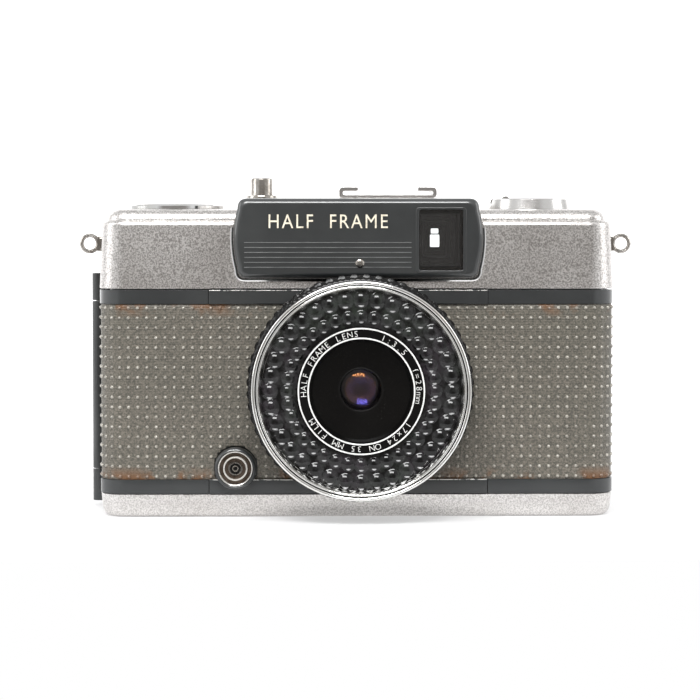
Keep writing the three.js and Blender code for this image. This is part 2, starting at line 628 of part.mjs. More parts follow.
// ---- Film transport ----
// Involute teeth about the Z axis. Thinning gives the pair its backlash.
function gear(teeth, phase, [z0, z1], bore) {
  const m = GEAR.module;
  const pitch = (m * teeth) / 2;
  const base = pitch * Math.cos(THREE.MathUtils.degToRad(20));
  const involute = (r) => Math.tan(Math.acos(base / r)) - Math.acos(base / r);
  const half = (r) => (0.84 * Math.PI) / (2 * teeth) + involute(pitch) - involute(Math.max(r, base));
  const radii = [pitch - 1.2 * m, pitch - 0.2 * m, pitch + 0.85 * m];
  const s = new THREE.Shape();
  for (let k = 0; k < teeth; k++) {
    const a = phase + (2 * Math.PI * k) / teeth;
    for (const r of radii) point(r, a - half(r));
    for (const r of [...radii].reverse()) point(r, a + half(r));
  }
  function point(r, a) {
    const [x, y] = [r * Math.cos(a), r * Math.sin(a)];
    if (s.curves.length || s.currentPoint.lengthSq()) s.lineTo(x, y);
    else s.moveTo(x, y);
  }
  return prism(s, z0, z1).subtract(rod(0, 0, bore, z0 - 1, z1 + 1));
}

piece("thumbwheel",
  alongZ([[2.6, 53.4], [11.4, 53.4], [12.4, ADVANCE.z[0]], [ADVANCE.wheel, 53.9], [ADVANCE.wheel, 56.3],
    [12.4, ADVANCE.z[1]], [11.4, 56.6], [2.6, 56.6]], 24),
  BLACK_PAINT, advance);
function spool() {
  const core = alongZ(
    [[0, 6.0], [10, 6.0], [10, 7.4], [6.2, 7.6], [6.2, 48.4],
      [10, 48.6], [10, 50.0], [2.4, 50.2], [2.4, 58], [0, 58]], 24);
  const slot = join(box(-10, 10, -0.7, 0.7, 20, 36), box(-0.7, 0.7, -10, 10, 20, 36));
  const toothed = gear(GEAR.teeth, 0, GEAR.z, 1).add(rod(0, 0, 2.4, 57.5, 60, 24));
  return join(core.subtract(slot), toothed);
}
piece("takeup_spool", spool(), BLACK_PLASTIC, advance);

function sprocket() {
  const teeth = 8;
  const drum = alongZ(
    [[0, 5.9], [4.6, 5.9], [4.6, 12.4], [6.05, 12.4], [6.05, 15.4], [4.6, 15.4], [4.6, 41.6],
      [6.05, 41.6], [6.05, 44.6], [4.6, 44.6], [4.6, 50.2], [2.3, 50.2], [2.3, 58], [0, 58]], 24);
  const spikes = [];
  for (const z of [13.9, 43.1])
    for (let k = 0; k < teeth; k++)
      spikes.push(box(5.5, 7.0, -0.6, 0.6, z - 0.7, z + 0.7).rotate([0, 0, (360 * k) / teeth]));
  const toothed = gear(GEAR.teeth, Math.PI / GEAR.teeth, GEAR.z, 1).add(rod(0, 0, 2.3, 57.5, 60, 24));
  return join(drum, ...spikes, toothed);
}
piece("sprocket", sprocket(), BLACK_PLASTIC, sprocketGroup);

// ---- Rewind ----
const CRANK = { x: -5.6, z: 68.7 };
function knob() {
  const z = TIER_Z + 0.1;
  const body = alongZ(
    [[2.0, z], [REWIND.r, z], [8.75, 69.0], [8.4, 69.25],
      [0, 69.25], [0, 67.7], [2.0, 67.7]], 24);
  return cut(
    body,
    box(-10, 7.9, -2.3, 2.3, 68.1, 72),
    box(CRANK.x - 1.6, CRANK.x + 1.8, -2.3, 2.3, 67.3, 72),
    rod(5.2, 0, 2.2, 67.2, 72, 20),
    rodY(CRANK.x, CRANK.z, 0.62, -3.6, 3.6, 14),
  );
}
piece("rewind_knob", knob(), SATIN, rewind);
function crank() {
  return join(
    box(CRANK.x, 5.2, -1.7, 1.7, 68.35, 69.25),
    rodY(CRANK.x, CRANK.z, 1.1, -1.9, 1.9, 16),
    rodY(CRANK.x, CRANK.z, 0.5, -3.4, 3.4, 12),
    rod(5.2, 0, 1.9, 68.35, 69.25, 20),
    rod(5.2, 0, 1.6, 67.4, 68.5, 20),
  );
}
piece("rewind_crank", crank(), CHROME, rewind);
function rewindShaft() {
  const stem = alongZ(
    [[0, 44.5], [1.3, 44.5], [2.5, 46], [2.5, 49.6],
      [1.9, 49.9], [1.9, 67.55], [0, 67.55]], 24);
  return stem.add(box(-2.9, 2.9, -0.5, 0.5, 43.6, 48));
}
piece("rewind_shaft", rewindShaft(), STEEL, rewind);
// The bush turns with the shaft, which slides up through it.
piece("rewind_bush",
  alongZ([[2.0, 64.6], [3.4, 64.6], [3.4, 65.4], [2.45, 65.4], [2.45, 66.7], [2.0, 66.7]], 20),
  STEEL, rewind);

// ---- Back door ----
function backDoor() {
  const plan = (inset) => outline(inset, BODY.y1 - LEATHER - 0.05, 5.6);
  const [z0, z1] = LEATHER_Z;
  const rim = (a, b) => prism(outline(0.1, BODY.y1, 6), a, b);
  const web = box(HINGE.x + 0.9, -55.4, HINGE.y + 0.25, HINGE.y + 1.5, z0 + 0.5, z1 - 0.5);
  const body = join(rim(DOOR.z0, z0), prism(plan(LEATHER + 0.1), z0, z1), rim(z1, DOOR.z1));
  const tray = cut(
    body,
    box(-60, 60, -20, PARTING_Y + 0.1, 0, 60),
    box(-54.9, 53.9, 0, 13.1, 4.1, 51.6),
  );
  return cut(
    join(tray, knuckle(z0 + 0.4, z1 - 0.1), web),
    rod(HINGE.x, HINGE.y, HINGE.bore, 0, 60, 20),
    box(54.4, 60, 9.6, 12.2, 20.4, 34.6),
  );
}
piece("back_door", backDoor(), GREY_PAINT);

function backLeather() {
  const [z0, z1] = LEATHER_Z;
  const sheet = cut(
    prism(outline(0), z0 + 0.1, z1 - 0.1),
    prism(outline(LEATHER + 0.1, BODY.y1, 5.9), 0, 60),
  );
  return cut(
    sheet,
    box(-60, 60, -20, PARTING_Y + 0.1, 0, 60),
    box(-60, -54, 0, HINGE.y + 1.8, 0, 60),
    box(54, 60, 8.6, 12.4, 20.2, 34.8),
  );
}
piece("back_leather", backLeather(), LEATHERETTE);

function latch() {
  const tab = box(54.55, 56.1, 9.9, 11.9, 22.6, 34.2);
  const ribs = [0, 1, 2, 3].map((i) => box(56, 56.5, 9.9, 11.9, 24 + 2.2 * i, 25 + 2.2 * i));
  return join(tab, ...ribs);
}
piece("door_latch", latch(), CHROME);

piece("pressure_plate",
  cut(
    facing(rounded(-15, 17, LENS_Z - 17, LENS_Z + 17, 1.5), 10.75, 11.4),
    ...[-8, 0, 8].map((z) => box(-9, 11, 10.7, 10.95, LENS_Z + z - 1.2, LENS_Z + z + 1.2)),
  ),
  BLACK_PAINT);
// A bowed leaf between the plate and the door, drawn as seen from the side.
function leaf() {
  const [y0, y1, thick] = [12.9, 10.6, 0.25];
  const [z0, z1] = [LENS_Z - 14, LENS_Z + 14];
  const s = new THREE.Shape();
  s.moveTo(y0, z0);
  s.quadraticCurveTo(y1, LENS_Z, y0, z1);
  s.lineTo(y0 - thick, z1);
  s.quadraticCurveTo(y1 - thick, LENS_Z, y0 - thick, z0);
  const g = new THREE.ExtrudeGeometry(s, { depth: 8, bevelEnabled: false, curveSegments: 10 });
  return solid(g.rotateX(Math.PI / 2).rotateZ(Math.PI / 2).translate(-3, 0, 0));
}
piece("plate_spring", leaf(), STEEL);

export default camera;
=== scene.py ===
# Looks for the half frame camera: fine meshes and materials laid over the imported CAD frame.
# Lengths are in millimetres in this script, and MM turns them into Blender's metres.
import json
import math

import bmesh
import bpy
from mathutils import Matrix, Vector


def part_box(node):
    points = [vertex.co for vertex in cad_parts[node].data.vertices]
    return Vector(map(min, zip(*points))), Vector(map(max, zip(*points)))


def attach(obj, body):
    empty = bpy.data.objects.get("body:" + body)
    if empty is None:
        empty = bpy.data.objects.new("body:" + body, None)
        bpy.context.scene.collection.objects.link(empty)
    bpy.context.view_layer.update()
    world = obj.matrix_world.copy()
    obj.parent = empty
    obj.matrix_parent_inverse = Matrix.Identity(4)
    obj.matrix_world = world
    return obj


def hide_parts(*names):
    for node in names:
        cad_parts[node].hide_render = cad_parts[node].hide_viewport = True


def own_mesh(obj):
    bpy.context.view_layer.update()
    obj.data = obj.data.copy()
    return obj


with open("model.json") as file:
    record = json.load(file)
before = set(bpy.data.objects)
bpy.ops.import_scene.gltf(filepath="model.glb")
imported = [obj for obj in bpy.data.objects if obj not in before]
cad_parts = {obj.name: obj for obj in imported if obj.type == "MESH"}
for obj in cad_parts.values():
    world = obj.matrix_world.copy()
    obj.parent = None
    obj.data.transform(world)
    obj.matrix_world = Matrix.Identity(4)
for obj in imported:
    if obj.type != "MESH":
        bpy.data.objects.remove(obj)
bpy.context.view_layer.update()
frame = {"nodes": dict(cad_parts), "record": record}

MM = 0.001
scene = bpy.context.scene


# ---- Places, all taken from the frame ----
def extent(node):
    low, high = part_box(node)
    return [v / MM for v in low], [v / MM for v in high]


def middle(node):
    low, high = extent(node)
    return [(a + b) / 2 for a, b in zip(low, high)]


LENS = middle("cell_bezel")
BODY_LOW, BODY_HIGH = extent("top_cover")
LEATHER_LOW, LEATHER_HIGH = extent("front_leather_left")
PLATE_LOW, PLATE_HIGH = extent("faceplate")
WINDOW_LOW, WINDOW_HIGH = extent("finder_window")
BUTTON = middle("shutter_button")
COUNTER = middle("counter_cover")
KNOB = middle("rewind_knob")
SYNC = middle("sync_shell")
SHOE_LOW, SHOE_HIGH = extent("accessory_shoe")
LENS_FRONT = extent("cell_bezel")[0][1]
LATCH_LOW, LATCH_HIGH = extent("door_latch")
LATCH_TRAVEL = 2.0
HINGE_Y = middle("hinge_pin")[1]
DOOR_LAP = 1.3
BODY_CORNER = 6.0
FRONT_Y = BODY_LOW[1]
REAR_Y = 14.9
REAR_FACE = extent("back_leather")[1][1]


# ---- Camera and light ----
def put(name, data):
    """An object in the scene that holds the given mesh, curve, camera or light."""
    obj = bpy.data.objects.new(name, data)
    scene.collection.objects.link(obj)
    return obj


def shift(x, y, z):
    return Matrix.Translation(Vector((x, y, z)) * MM)


def point_at(obj, place, aim):
    obj.location = Vector(place) * MM
    obj.rotation_mode = "QUATERNION"
    obj.rotation_quaternion = (Vector(aim) * MM - obj.location).to_track_quat("-Z", "Y")


def add_camera():
    data = bpy.data.cameras.new("view_camera")
    data.lens = 122.7
    data.sensor_width = 36
    data.clip_start = 0.01
    obj = put("view_camera", data)
    point_at(obj, (-12, -530, 64.7), (-2.1, FRONT_Y, 36.4))
    scene.camera = obj


def add_area(name, place, aim, size, energy, colour=(1, 1, 1)):
    data = bpy.data.lights.new(name, "AREA")
    data.shape = "RECTANGLE"
    data.size, data.size_y = [s * MM for s in size]
    data.energy = energy
    data.color = colour
    point_at(put(name, data), place, aim)


def add_lights():
    add_area("top_softbox", (-70, -430, 490), (0, 0, 40), (430, 190), 4.4)
    add_area("left_softbox", (-560, -60, 260), (0, 0, 40), (260, 380), 0.8)
    add_area("right_softbox", (560, -60, 260), (0, 0, 40), (260, 380), 0.8)


# ---- Node helpers ----
class Nodes:
    """A short way to build a material: every call adds one node and links its inputs."""

    def __init__(self, tree):
        self.tree = tree

    def add(self, kind, inputs=(), **settings):
        node = self.tree.nodes.new(kind)
        for key, value in settings.items():
            setattr(node, key, value)
        for key, value in dict(inputs).items():
            socket = node.inputs[key]
            if isinstance(value, bpy.types.NodeSocket):
                self.tree.links.new(value, socket)
            else:
                socket.default_value = value
        return node

    def place(self):
        return self.add("ShaderNodeTexCoord").outputs["Object"]

    def noise(self, scale, detail=3, rough=0.55, vector=None):
        inputs = {"Vector": vector or self.place(), "Scale": scale, "Detail": detail, "Roughness": rough}
        return self.add("ShaderNodeTexNoise", inputs).outputs["Fac"]

    def math(self, operation, a, b=0.0, c=0.0, clamp=False):
        inputs = {0: a, 1: b, 2: c}
        return self.add("ShaderNodeMath", inputs, operation=operation, use_clamp=clamp).outputs[0]

    def span(self, value, low, high, to_low=0.0, to_high=1.0):
        inputs = {"Value": value, "From Min": low, "From Max": high, "To Min": to_low, "To Max": to_high}
        return self.add("ShaderNodeMapRange", inputs).outputs["Result"]

    def mix(self, factor, a, b, blend="MIX"):
        node = self.add("ShaderNodeMix", {"Factor": factor}, data_type="RGBA", blend_type=blend)
        for index, value in ((6, a), (7, b)):
            if isinstance(value, bpy.types.NodeSocket):
                self.tree.links.new(value, node.inputs[index])
            else:
                node.inputs[index].default_value = (*value, 1)
        return node.outputs[2]

    def bump(self, height, strength, distance, normal=None):
        inputs = {"Height": height, "Strength": strength, "Distance": distance * MM}
        if normal:
            inputs["Normal"] = normal
        return self.add("ShaderNodeBump", inputs).outputs["Normal"]

    def axis(self, index):
        split = self.add("ShaderNodeSeparateXYZ", {"Vector": self.place()})
        return self.math("MULTIPLY", split.outputs[index], 1 / MM)


MATERIALS = {}


def material(build):
    """Turns a function that fills in a Principled shader into one that makes its material once."""

    def get():
        name = build.__name__
        if name not in MATERIALS:
            made = bpy.data.materials.new(name)
            made.use_nodes = True
            build(Nodes(made.node_tree), made.node_tree.nodes["Principled BSDF"])
            MATERIALS[name] = made
        return MATERIALS[name]

    return get


def wire(n, shader, **inputs):
    for key, value in inputs.items():
        socket = shader.inputs[key.replace("_", " ")]
        if isinstance(value, bpy.types.NodeSocket):
            n.tree.links.new(value, socket)
        elif isinstance(value, tuple) and len(value) == 3 and socket.type == "RGBA":
            socket.default_value = (*value, 1)
        else:
            socket.default_value = value


# ---- Materials ----
def satin(n, shader, depth):
    """Fine matt plate: a grain of tiny tilted facets, as dark as depth says, with faint smears."""
    grain = n.noise(2900, 2, 0.8)
    smear = n.noise(38, 4, 0.6)
    base = n.mix(n.span(smear, 0.35, 0.7), (0.74, 0.715, 0.695), (0.84, 0.82, 0.805))
    base = n.mix(n.span(grain, 0.42, 0.56, depth, 0.0), base, (0.33, 0.31, 0.295))
    rough = n.math("ADD", n.span(grain, 0.3, 0.7, 0.26, 0.33), n.span(smear, 0.3, 0.7, 0, 0.05))
    wire(n, shader, Base_Color=base, Metallic=1.0, Roughness=rough, Normal=n.bump(grain, 0.6, 0.06))


def mottled(name, noise, colours, rough, metallic=0.0):
    """Makes a material whose colour and roughness follow one noise.

    noise is (scale, detail, roughness, low, high) and rough is (low, high, smoothest, roughest).
    """

    def build(n, shader):
        cloud = n.noise(*noise[:3])
        base = n.mix(n.span(cloud, *noise[3:]), *colours)
        wire(n, shader, Base_Color=base, Metallic=metallic, Roughness=n.span(cloud, *rough))

    build.__name__ = name
    return material(build)


@material
def satin_chrome(n, shader):
    satin(n, shader, 0.85)


@material
def lit_satin_chrome(n, shader):
    """The same plate with less of its dark grain: a lighter copy for the base, painted light that stands
    in for the light it gets from below.
    """
    satin(n, shader, 0.62)


@material
def smooth_plate(n, shader):
    """Plate over a turned part: soft, clean and only faintly hazed."""
    haze = n.noise(110, 4, 0.65)
    fine = n.noise(2200, 2, 0.6)
    base = n.mix(n.span(haze, 0.4, 0.75), (0.74, 0.73, 0.72), (0.63, 0.62, 0.60))
    rough = n.span(haze, 0.35, 0.75, 0.17, 0.27)
    wire(n, shader, Base_Color=base, Metallic=1.0, Roughness=rough, Normal=n.bump(fine, 0.15, 0.015))


@material
def bright_chrome(n, shader):
    haze = n.noise(120, 4, 0.65)
    fine = n.noise(1500, 3, 0.6)
    base = n.mix(n.span(haze, 0.4, 0.75), (0.86, 0.86, 0.86), (0.70, 0.69, 0.66))
    rough = n.span(haze, 0.35, 0.75, 0.06, 0.2)
    wire(n, shader, Base_Color=base, Metallic=1.0, Roughness=rough, Normal=n.bump(fine, 0.12, 0.02))


@material
def turned_chrome(n, shader):
    """Polished chrome with painted shade in the groove round the lens axis."""
    across = n.math("SUBTRACT", n.axis(0), LENS[0])
    up = n.math("SUBTRACT", n.axis(2), LENS[2])
    square = n.math("ADD", n.math("MULTIPLY", across, across), n.math("MULTIPLY", up, up))
    radius = n.math("POWER", square, 0.5)
    from_groove = n.math("ABSOLUTE", n.math("SUBTRACT", radius, BEZEL_GROOVE))
    # Painted shade: the colour turns near black along the groove.
    dark = n.span(from_groove, 0.07, 0.15, 1.0, 0.0)
    haze = n.noise(160, 4, 0.65)
    base = n.mix(n.span(haze, 0.4, 0.75), (0.86, 0.86, 0.85), (0.72, 0.71, 0.67))
    base = n.mix(n.math("MULTIPLY", dark, 0.88), base, (0.06, 0.057, 0.05))
    rough = n.span(haze, 0.35, 0.75, 0.08, 0.2)
    wire(n, shader, Base_Color=base, Metallic=1.0, Roughness=rough)


@material
def steel_plain(n, shader):
    haze = n.noise(160, 4, 0.65)
    base = n.mix(n.span(haze, 0.35, 0.75), (0.5, 0.5, 0.5), (0.36, 0.345, 0.32))
    rough = n.span(haze, 0.3, 0.7, 0.25, 0.45)
    wire(n, shader, Base_Color=base, Metallic=1.0, Roughness=rough, Normal=n.bump(haze, 0.15, 0.05))


def enamel(n, shader, dark, light, rough, grain_scale=1400):
    broad = n.noise(60, 4, 0.6)
    grain = n.noise(grain_scale, 3, 0.6)
    base = n.mix(n.span(broad, 0.35, 0.7), dark, light)
    uneven = n.math("ADD", broad, n.math("MULTIPLY", grain, 0.5))
    roughness = n.span(uneven, 0.5, 1.0, rough, rough + 0.14)
    wire(n, shader, Base_Color=base, Roughness=roughness, Normal=n.bump(grain, 0.16, 0.03))
    wire(n, shader, Coat_Weight=1.0, Coat_Roughness=0.06)


@material
def grey_enamel(n, shader):
    """Grey paint whose gloss coat fades towards the bottom, so that it reads darker there."""
    enamel(n, shader, (0.016, 0.018, 0.019), (0.024, 0.0265, 0.027), 0.3)
    wire(n, shader, Coat_Weight=n.span(n.axis(2), 10.0, 16.0, 0.45, 1.0))


@material
def black_enamel(n, shader):
    enamel(n, shader, (0.003, 0.003, 0.003), (0.007, 0.007, 0.0065), 0.3)


@material
def black_plastic(n, shader):
    enamel(n, shader, (0.006, 0.006, 0.006), (0.011, 0.011, 0.010), 0.42, 2400)


@material
def deep_black(n, shader):
    """Glossy black that mirrors the dark side of the room."""
    enamel(n, shader, (0.002, 0.002, 0.002), (0.0035, 0.0032, 0.0028), 0.14, 2200)
    wire(n, shader, Coat_Weight=0.0, Specular_IOR_Level=0.28)


@material
def tube_black(n, shader):
    """Flat brown-black paint inside the finder."""
    cloud = n.noise(180, 3, 0.6)
    base = n.mix(cloud, (0.003, 0.002, 0.001), (0.008, 0.005, 0.003))
    wire(n, shader, Base_Color=base, Roughness=n.span(cloud, 0.3, 0.7, 0.75, 0.9))
    wire(n, shader, Specular_IOR_Level=0.1)


def stained(n, base):
    """Adds rust that has crept in from the upper and lower edges of the covering."""
    z = n.axis(2)
    low, high = LEATHER_LOW[2], LEATHER_HIGH[2]
    edge = n.math("MINIMUM", n.math("SUBTRACT", z, low), n.math("SUBTRACT", high, z))
    near_edge = n.span(edge, 0.3, 3.0, 1, 0)
    blots = n.span(n.noise(130, 4, 0.6), 0.5, 0.6)
    rust = n.math("MULTIPLY", near_edge, blots, clamp=True)
    return n.mix(n.math("MULTIPLY", rust, 0.8), base, (0.16, 0.062, 0.014))


@material
def leatherette(n, shader):
    weave = n.noise(2500, 3, 0.7)
    across = n.math("SINE", n.math("MULTIPLY", n.axis(0), 4 * math.pi / DOT_PITCH[0]))
    down = n.math("SINE", n.math("MULTIPLY", n.axis(2), 8 * math.pi / DOT_PITCH[1]))
    ribs = n.math("ADD", across, down)
    broad = n.noise(55, 5, 0.65)
    base = n.mix(n.span(broad, 0.35, 0.7), (0.146, 0.134, 0.108), (0.185, 0.163, 0.134))
    base = n.mix(n.span(weave, 0.38, 0.6, 0, 0.9), base, (0.060, 0.057, 0.046))
    rough = n.span(weave, 0.3, 0.7, 0.38, 0.55)
    normal = n.bump(weave, 0.4, 0.06)
    normal = n.bump(ribs, 0.5, 0.035, normal)
    wire(n, shader, Base_Color=stained(n, base), Roughness=rough, Normal=normal)


@material
def leather_dots(n, shader):
    """The tops of the pressed dots, painted pale as a stand-in for their highlights, mottled by a noise,
    and glossy.
    """
    wear = n.noise(260, 3, 0.6)
    # Painted highlight: the pale colour of the dots.
    base = n.mix(n.span(wear, 0.4, 0.62), (0.36, 0.34, 0.295), (0.17, 0.157, 0.13))
    wire(n, shader, Base_Color=stained(n, base), Roughness=n.span(wear, 0.3, 0.7, 0.2, 0.34))
    wire(n, shader, Coat_Weight=1.0, Coat_Roughness=0.2)


@material
def clear_glass(n, shader):
    tint = n.noise(90, 2, 0.5)
    base = n.mix(tint, (0.94, 0.95, 0.96), (0.97, 0.97, 0.97))
    wire(n, shader, Base_Color=base, Roughness=0.0, Transmission_Weight=1.0, IOR=1.5)


@material
def bubble_glass(n, shader):
    """Moulding over the dark cell: smoked to the eye, with painted highlights in the foot of each cap,
    where its surface faces downwards.
    """
    cloud = n.noise(420, 4, 0.65)
    tint = n.noise(90, 3, 0.6)
    shade = n.mix(n.span(tint, 0.4, 0.65), (0.022, 0.018, 0.022), (0.018, 0.022, 0.018))
    base = n.mix(n.span(cloud, 0.42, 0.6), (0.002, 0.002, 0.002), shade)
    slope = n.add("ShaderNodeTexCoord").outputs["Normal"]
    slope = n.add("ShaderNodeSeparateXYZ", {"Vector": slope}).outputs[2]
    # Painted highlight: pale colour where the surface faces down, in place of light caught inside the
    # moulding.
    painted_foot_highlight = n.math("MULTIPLY", n.span(slope, -0.5, -0.56), n.span(cloud, 0.35, 0.6, 1.0, 0.8))
    base = n.mix(painted_foot_highlight, base, (0.8, 0.8, 0.81))
    wire(n, shader, Base_Color=base, Roughness=n.span(cloud, 0.3, 0.8, 0.03, 0.08), IOR=1.46)


def lens_coat(n, shader, tones, alpha):
    """A coloured reflecting film that lets the dark inside of the lens show through."""
    drift = n.noise(150, 2, 0.5)
    wire(n, shader, Base_Color=n.mix(drift, *tones), Metallic=1.0, Roughness=0.11, Alpha=alpha)


@material
def amber_coat(n, shader):
    lens_coat(n, shader, ((1.0, 0.36, 0.10), (1.0, 0.46, 0.18)), 0.018)


@material
def blue_coat(n, shader):
    lens_coat(n, shader, ((0.14, 0.14, 1.0), (0.24, 0.22, 1.0)), 0.016)


@material
def inner_lens(n, shader):
    haze = n.noise(420, 3, 0.6)
    base = n.mix(haze, (0.004, 0.003, 0.005), (0.009, 0.005, 0.004))
    wire(n, shader, Base_Color=base, Roughness=0.05, IOR=1.35, Specular_Tint=(1.0, 0.45, 0.12))


selenium = mottled("selenium", (700, 3, 0.7, 0.35, 0.7),
                   ((0.020, 0.016, 0.017), (0.045, 0.038, 0.040)), (0.3, 0.7, 0.3, 0.5), 0.35)
cream_paint = mottled("cream_paint", (900, 3, 0.7, 0.45, 0.75),
                      ((0.82, 0.76, 0.62), (0.5, 0.44, 0.34)), (0.3, 0.7, 0.4, 0.6))
white_paint = mottled("white_paint", (1200, 3, 0.7, 0.45, 0.75),
                      ((0.85, 0.85, 0.83), (0.55, 0.55, 0.53)), (0.3, 0.7, 0.4, 0.6))
line_paint = mottled("line_paint", (300, 3, 0.6, 0.4, 0.65),
                     ((0.14, 0.145, 0.142), (0.085, 0.09, 0.09)), (0.3, 0.7, 0.3, 0.45))
worn_brass = mottled("worn_brass", (600, 4, 0.65, 0.35, 0.7),
                     ((0.13, 0.10, 0.08), (0.05, 0.036, 0.028)), (0.3, 0.7, 0.3, 0.5), 0.9)
# Plate that has lost its shine to grime.
dull_chrome = mottled("dull_chrome", (420, 4, 0.65, 0.35, 0.7),
                      ((0.55, 0.53, 0.50), (0.26, 0.23, 0.20)), (0.3, 0.7, 0.12, 0.3), 1.0)
# Soft bright nickel with a little of its own pale colour.
nickel_rim = mottled("nickel_rim", (300, 4, 0.65, 0.4, 0.75),
                     ((0.88, 0.86, 0.82), (0.62, 0.59, 0.54)), (0.35, 0.75, 0.14, 0.26), 0.5)


@material
def chipped_edge_and_highlight(n, shader):
    """Bare metal along an edge that has lost its paint, in patches bright enough to be the painted
    highlight of the edge as well.
    """
    wear = n.noise(520, 4, 0.7)
    # Painted highlight as well as wear: the bare patches stand for the bright line along the edge.
    bare_and_highlight = n.span(wear, 0.42, 0.5)
    base = n.mix(bare_and_highlight, (0.05, 0.053, 0.054), (0.66, 0.65, 0.62))
    wire(n, shader, Base_Color=base, Metallic=bare_and_highlight, Roughness=0.35)


@material
def red_enamel(n, shader):
    enamel(n, shader, (0.45, 0.02, 0.015), (0.55, 0.03, 0.02), 0.4)


@material
def pale_floor(n, shader):
    broad = n.noise(6, 3, 0.5)
    base = n.mix(broad, (0.45, 0.45, 0.455), (0.49, 0.49, 0.495))
    glow = n.span(n.axis(1), 60, 1500, 0.42, 1.2)
    wire(n, shader, Base_Color=base, Roughness=0.7)
    wire(n, shader, Emission_Color=(1.0, 1.0, 1.0), Emission_Strength=glow)


def white_world():
    """A pale room with a dark patch behind the viewer, so that front faces of metal turn grey."""
    world = bpy.data.worlds.new("studio")
    scene.world = world
    world.use_nodes = True
    n = Nodes(world.node_tree)
    background = world.node_tree.nodes["Background"]
    split = n.add("ShaderNodeSeparateXYZ", {"Vector": n.add("ShaderNodeTexCoord").outputs["Generated"]})
    patch = n.span(split.outputs[1], -0.9, -0.76)
    height = n.span(split.outputs[2], 0.35, 0.9)
    colour = n.mix(n.math("MAXIMUM", patch, height), (0.29, 0.276, 0.264), (0.76, 0.76, 0.76))
    seen = n.add("ShaderNodeLightPath").outputs["Is Camera Ray"]
    colour = n.mix(seen, colour, (1.0, 1.0, 1.0))
    world.node_tree.links.new(colour, background.inputs["Color"])
    background.inputs["Strength"].default_value = 1.0


# ---- Mesh helpers ----
def new_object(name, vertices, faces):
    mesh = bpy.data.meshes.new(name)
    mesh.from_pydata([Vector(v) * MM for v in vertices], [], faces)
    return put(name, mesh)


def outward(obj):
    """Welds doubles and turns every face of a closed mesh outwards."""
    bm = bmesh.new()
    bm.from_mesh(obj.data)
    bmesh.ops.remove_doubles(bm, verts=bm.verts, dist=2e-6)
    bmesh.ops.recalc_face_normals(bm, faces=bm.faces)
    bm.to_mesh(obj.data)
    bm.free()


def dress(obj, look, slot, body="body", stands_for=(), angle=32, bevel=0.0, steps=2, weighted=False):
    """Shades a finished mesh, gives it its material and ties it to its CAD body."""
    outward(obj)
    obj.data.shade_smooth()
    obj.data.set_sharp_from_angle(angle=math.radians(angle))
    obj.data.materials.clear()
    obj.data.materials.append(look())
    if bevel:
        edge = obj.modifiers.new("edges", "BEVEL")
        edge.width = bevel * MM
        edge.segments = steps
        edge.limit_method = "ANGLE"
        edge.angle_limit = math.radians(angle)
        edge.harden_normals = True
    if weighted:
        weigh = obj.modifiers.new("flat_faces", "WEIGHTED_NORMAL")
        weigh.keep_sharp = True
        weigh.weight = 90
    if stands_for:
        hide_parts(*stands_for)
    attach(obj, body)
    return obj


def faces_round(around, count):
    """Quads between neighbouring rings of count points each, all the way round."""
    faces = []
    for i in range(around):
        j = (i + 1) % around
        for k in range(count):
            m = (k + 1) % count
            faces.append((i * count + k, i * count + m, j * count + m, j * count + k))
    return faces


def lathe(name, profile, centre, axis, segments=96, wave=None):
    """Turns a closed profile of [radius, height] points. wave(angle, point) may move a radius."""
    vertices = []
    for i in range(segments):
        a = 2 * math.pi * i / segments
        for k, (r, h) in enumerate(profile):
            if wave:
                r += wave(a, k)
            u, v = r * math.cos(a), r * math.sin(a)
            point = (u, h, v) if axis == "y" else (u, v, h)
            vertices.append([p + c for p, c in zip(point, centre)])
    return new_object(name, vertices, faces_round(segments, len(profile)))


def ring(r0, r1, a, b):
    return [(r0, a), (r1, a), (r1, b), (r0, b)]


def rounded_rect(x0, x1, y0, y1, radii, steps=10):
    """Points of a rectangle with a radius at each corner: low-low, high-low, high-high, low-high."""
    corners = ((x0, y0, 1, 1, 180), (x1, y0, -1, 1, 270), (x1, y1, -1, -1, 0), (x0, y1, 1, -1, 90))
    points = []
    for (x, y, sx, sy, start), r in zip(corners, radii):
        for i in range(steps + 1):
            a = math.radians(start + 90 * i / max(steps, 1))
            points.append((x + sx * r + r * math.cos(a), y + sy * r + r * math.sin(a)))
    return points


def body_outline(inset, rear=REAR_Y, steps=10):
    r = max(BODY_CORNER - inset, 0.4)
    return rounded_rect(
        BODY_LOW[0] + inset, BODY_HIGH[0] - inset, FRONT_Y + inset, rear - inset, (r, r, r, r), steps
    )


def stack(name, rings):
    """A closed skin through rings of equal point count, each a list of 3-D points."""
    count = len(rings[0])
    vertices = [p for r in rings for p in r]
    faces = []
    for k in range(len(rings) - 1):
        for i in range(count):
            j = (i + 1) % count
            faces.append((k * count + i, k * count + j, (k + 1) * count + j, (k + 1) * count + i))
    faces.append(tuple(reversed(range(count))))
    faces.append(tuple(range((len(rings) - 1) * count, len(rings) * count)))
    obj = new_object(name, vertices, faces)
    outward(obj)
    return obj


def loft(name, levels, outline=body_outline):
    """levels are [height, inset] pairs, rising."""
    return stack(name, [[(x, y, z) for x, y in outline(inset)] for z, inset in levels])


def block(name, low, high, radius=0.0, axis="z", steps=6):
    """A bar of rounded section along an axis."""
    order = {"z": (0, 1, 2), "y": (0, 2, 1), "x": (1, 2, 0)}[axis]
    a, b, c = order
    points = rounded_rect(low[a], high[a], low[b], high[b], (radius,) * 4, steps if radius else 0)
    rings = []
    for h in (low[c], high[c]):
        level = []
        for u, v in points:
            p = [0, 0, 0]
            p[a], p[b], p[c] = u, v, h
            level.append(p)
        rings.append(level)
    return stack(name, rings)


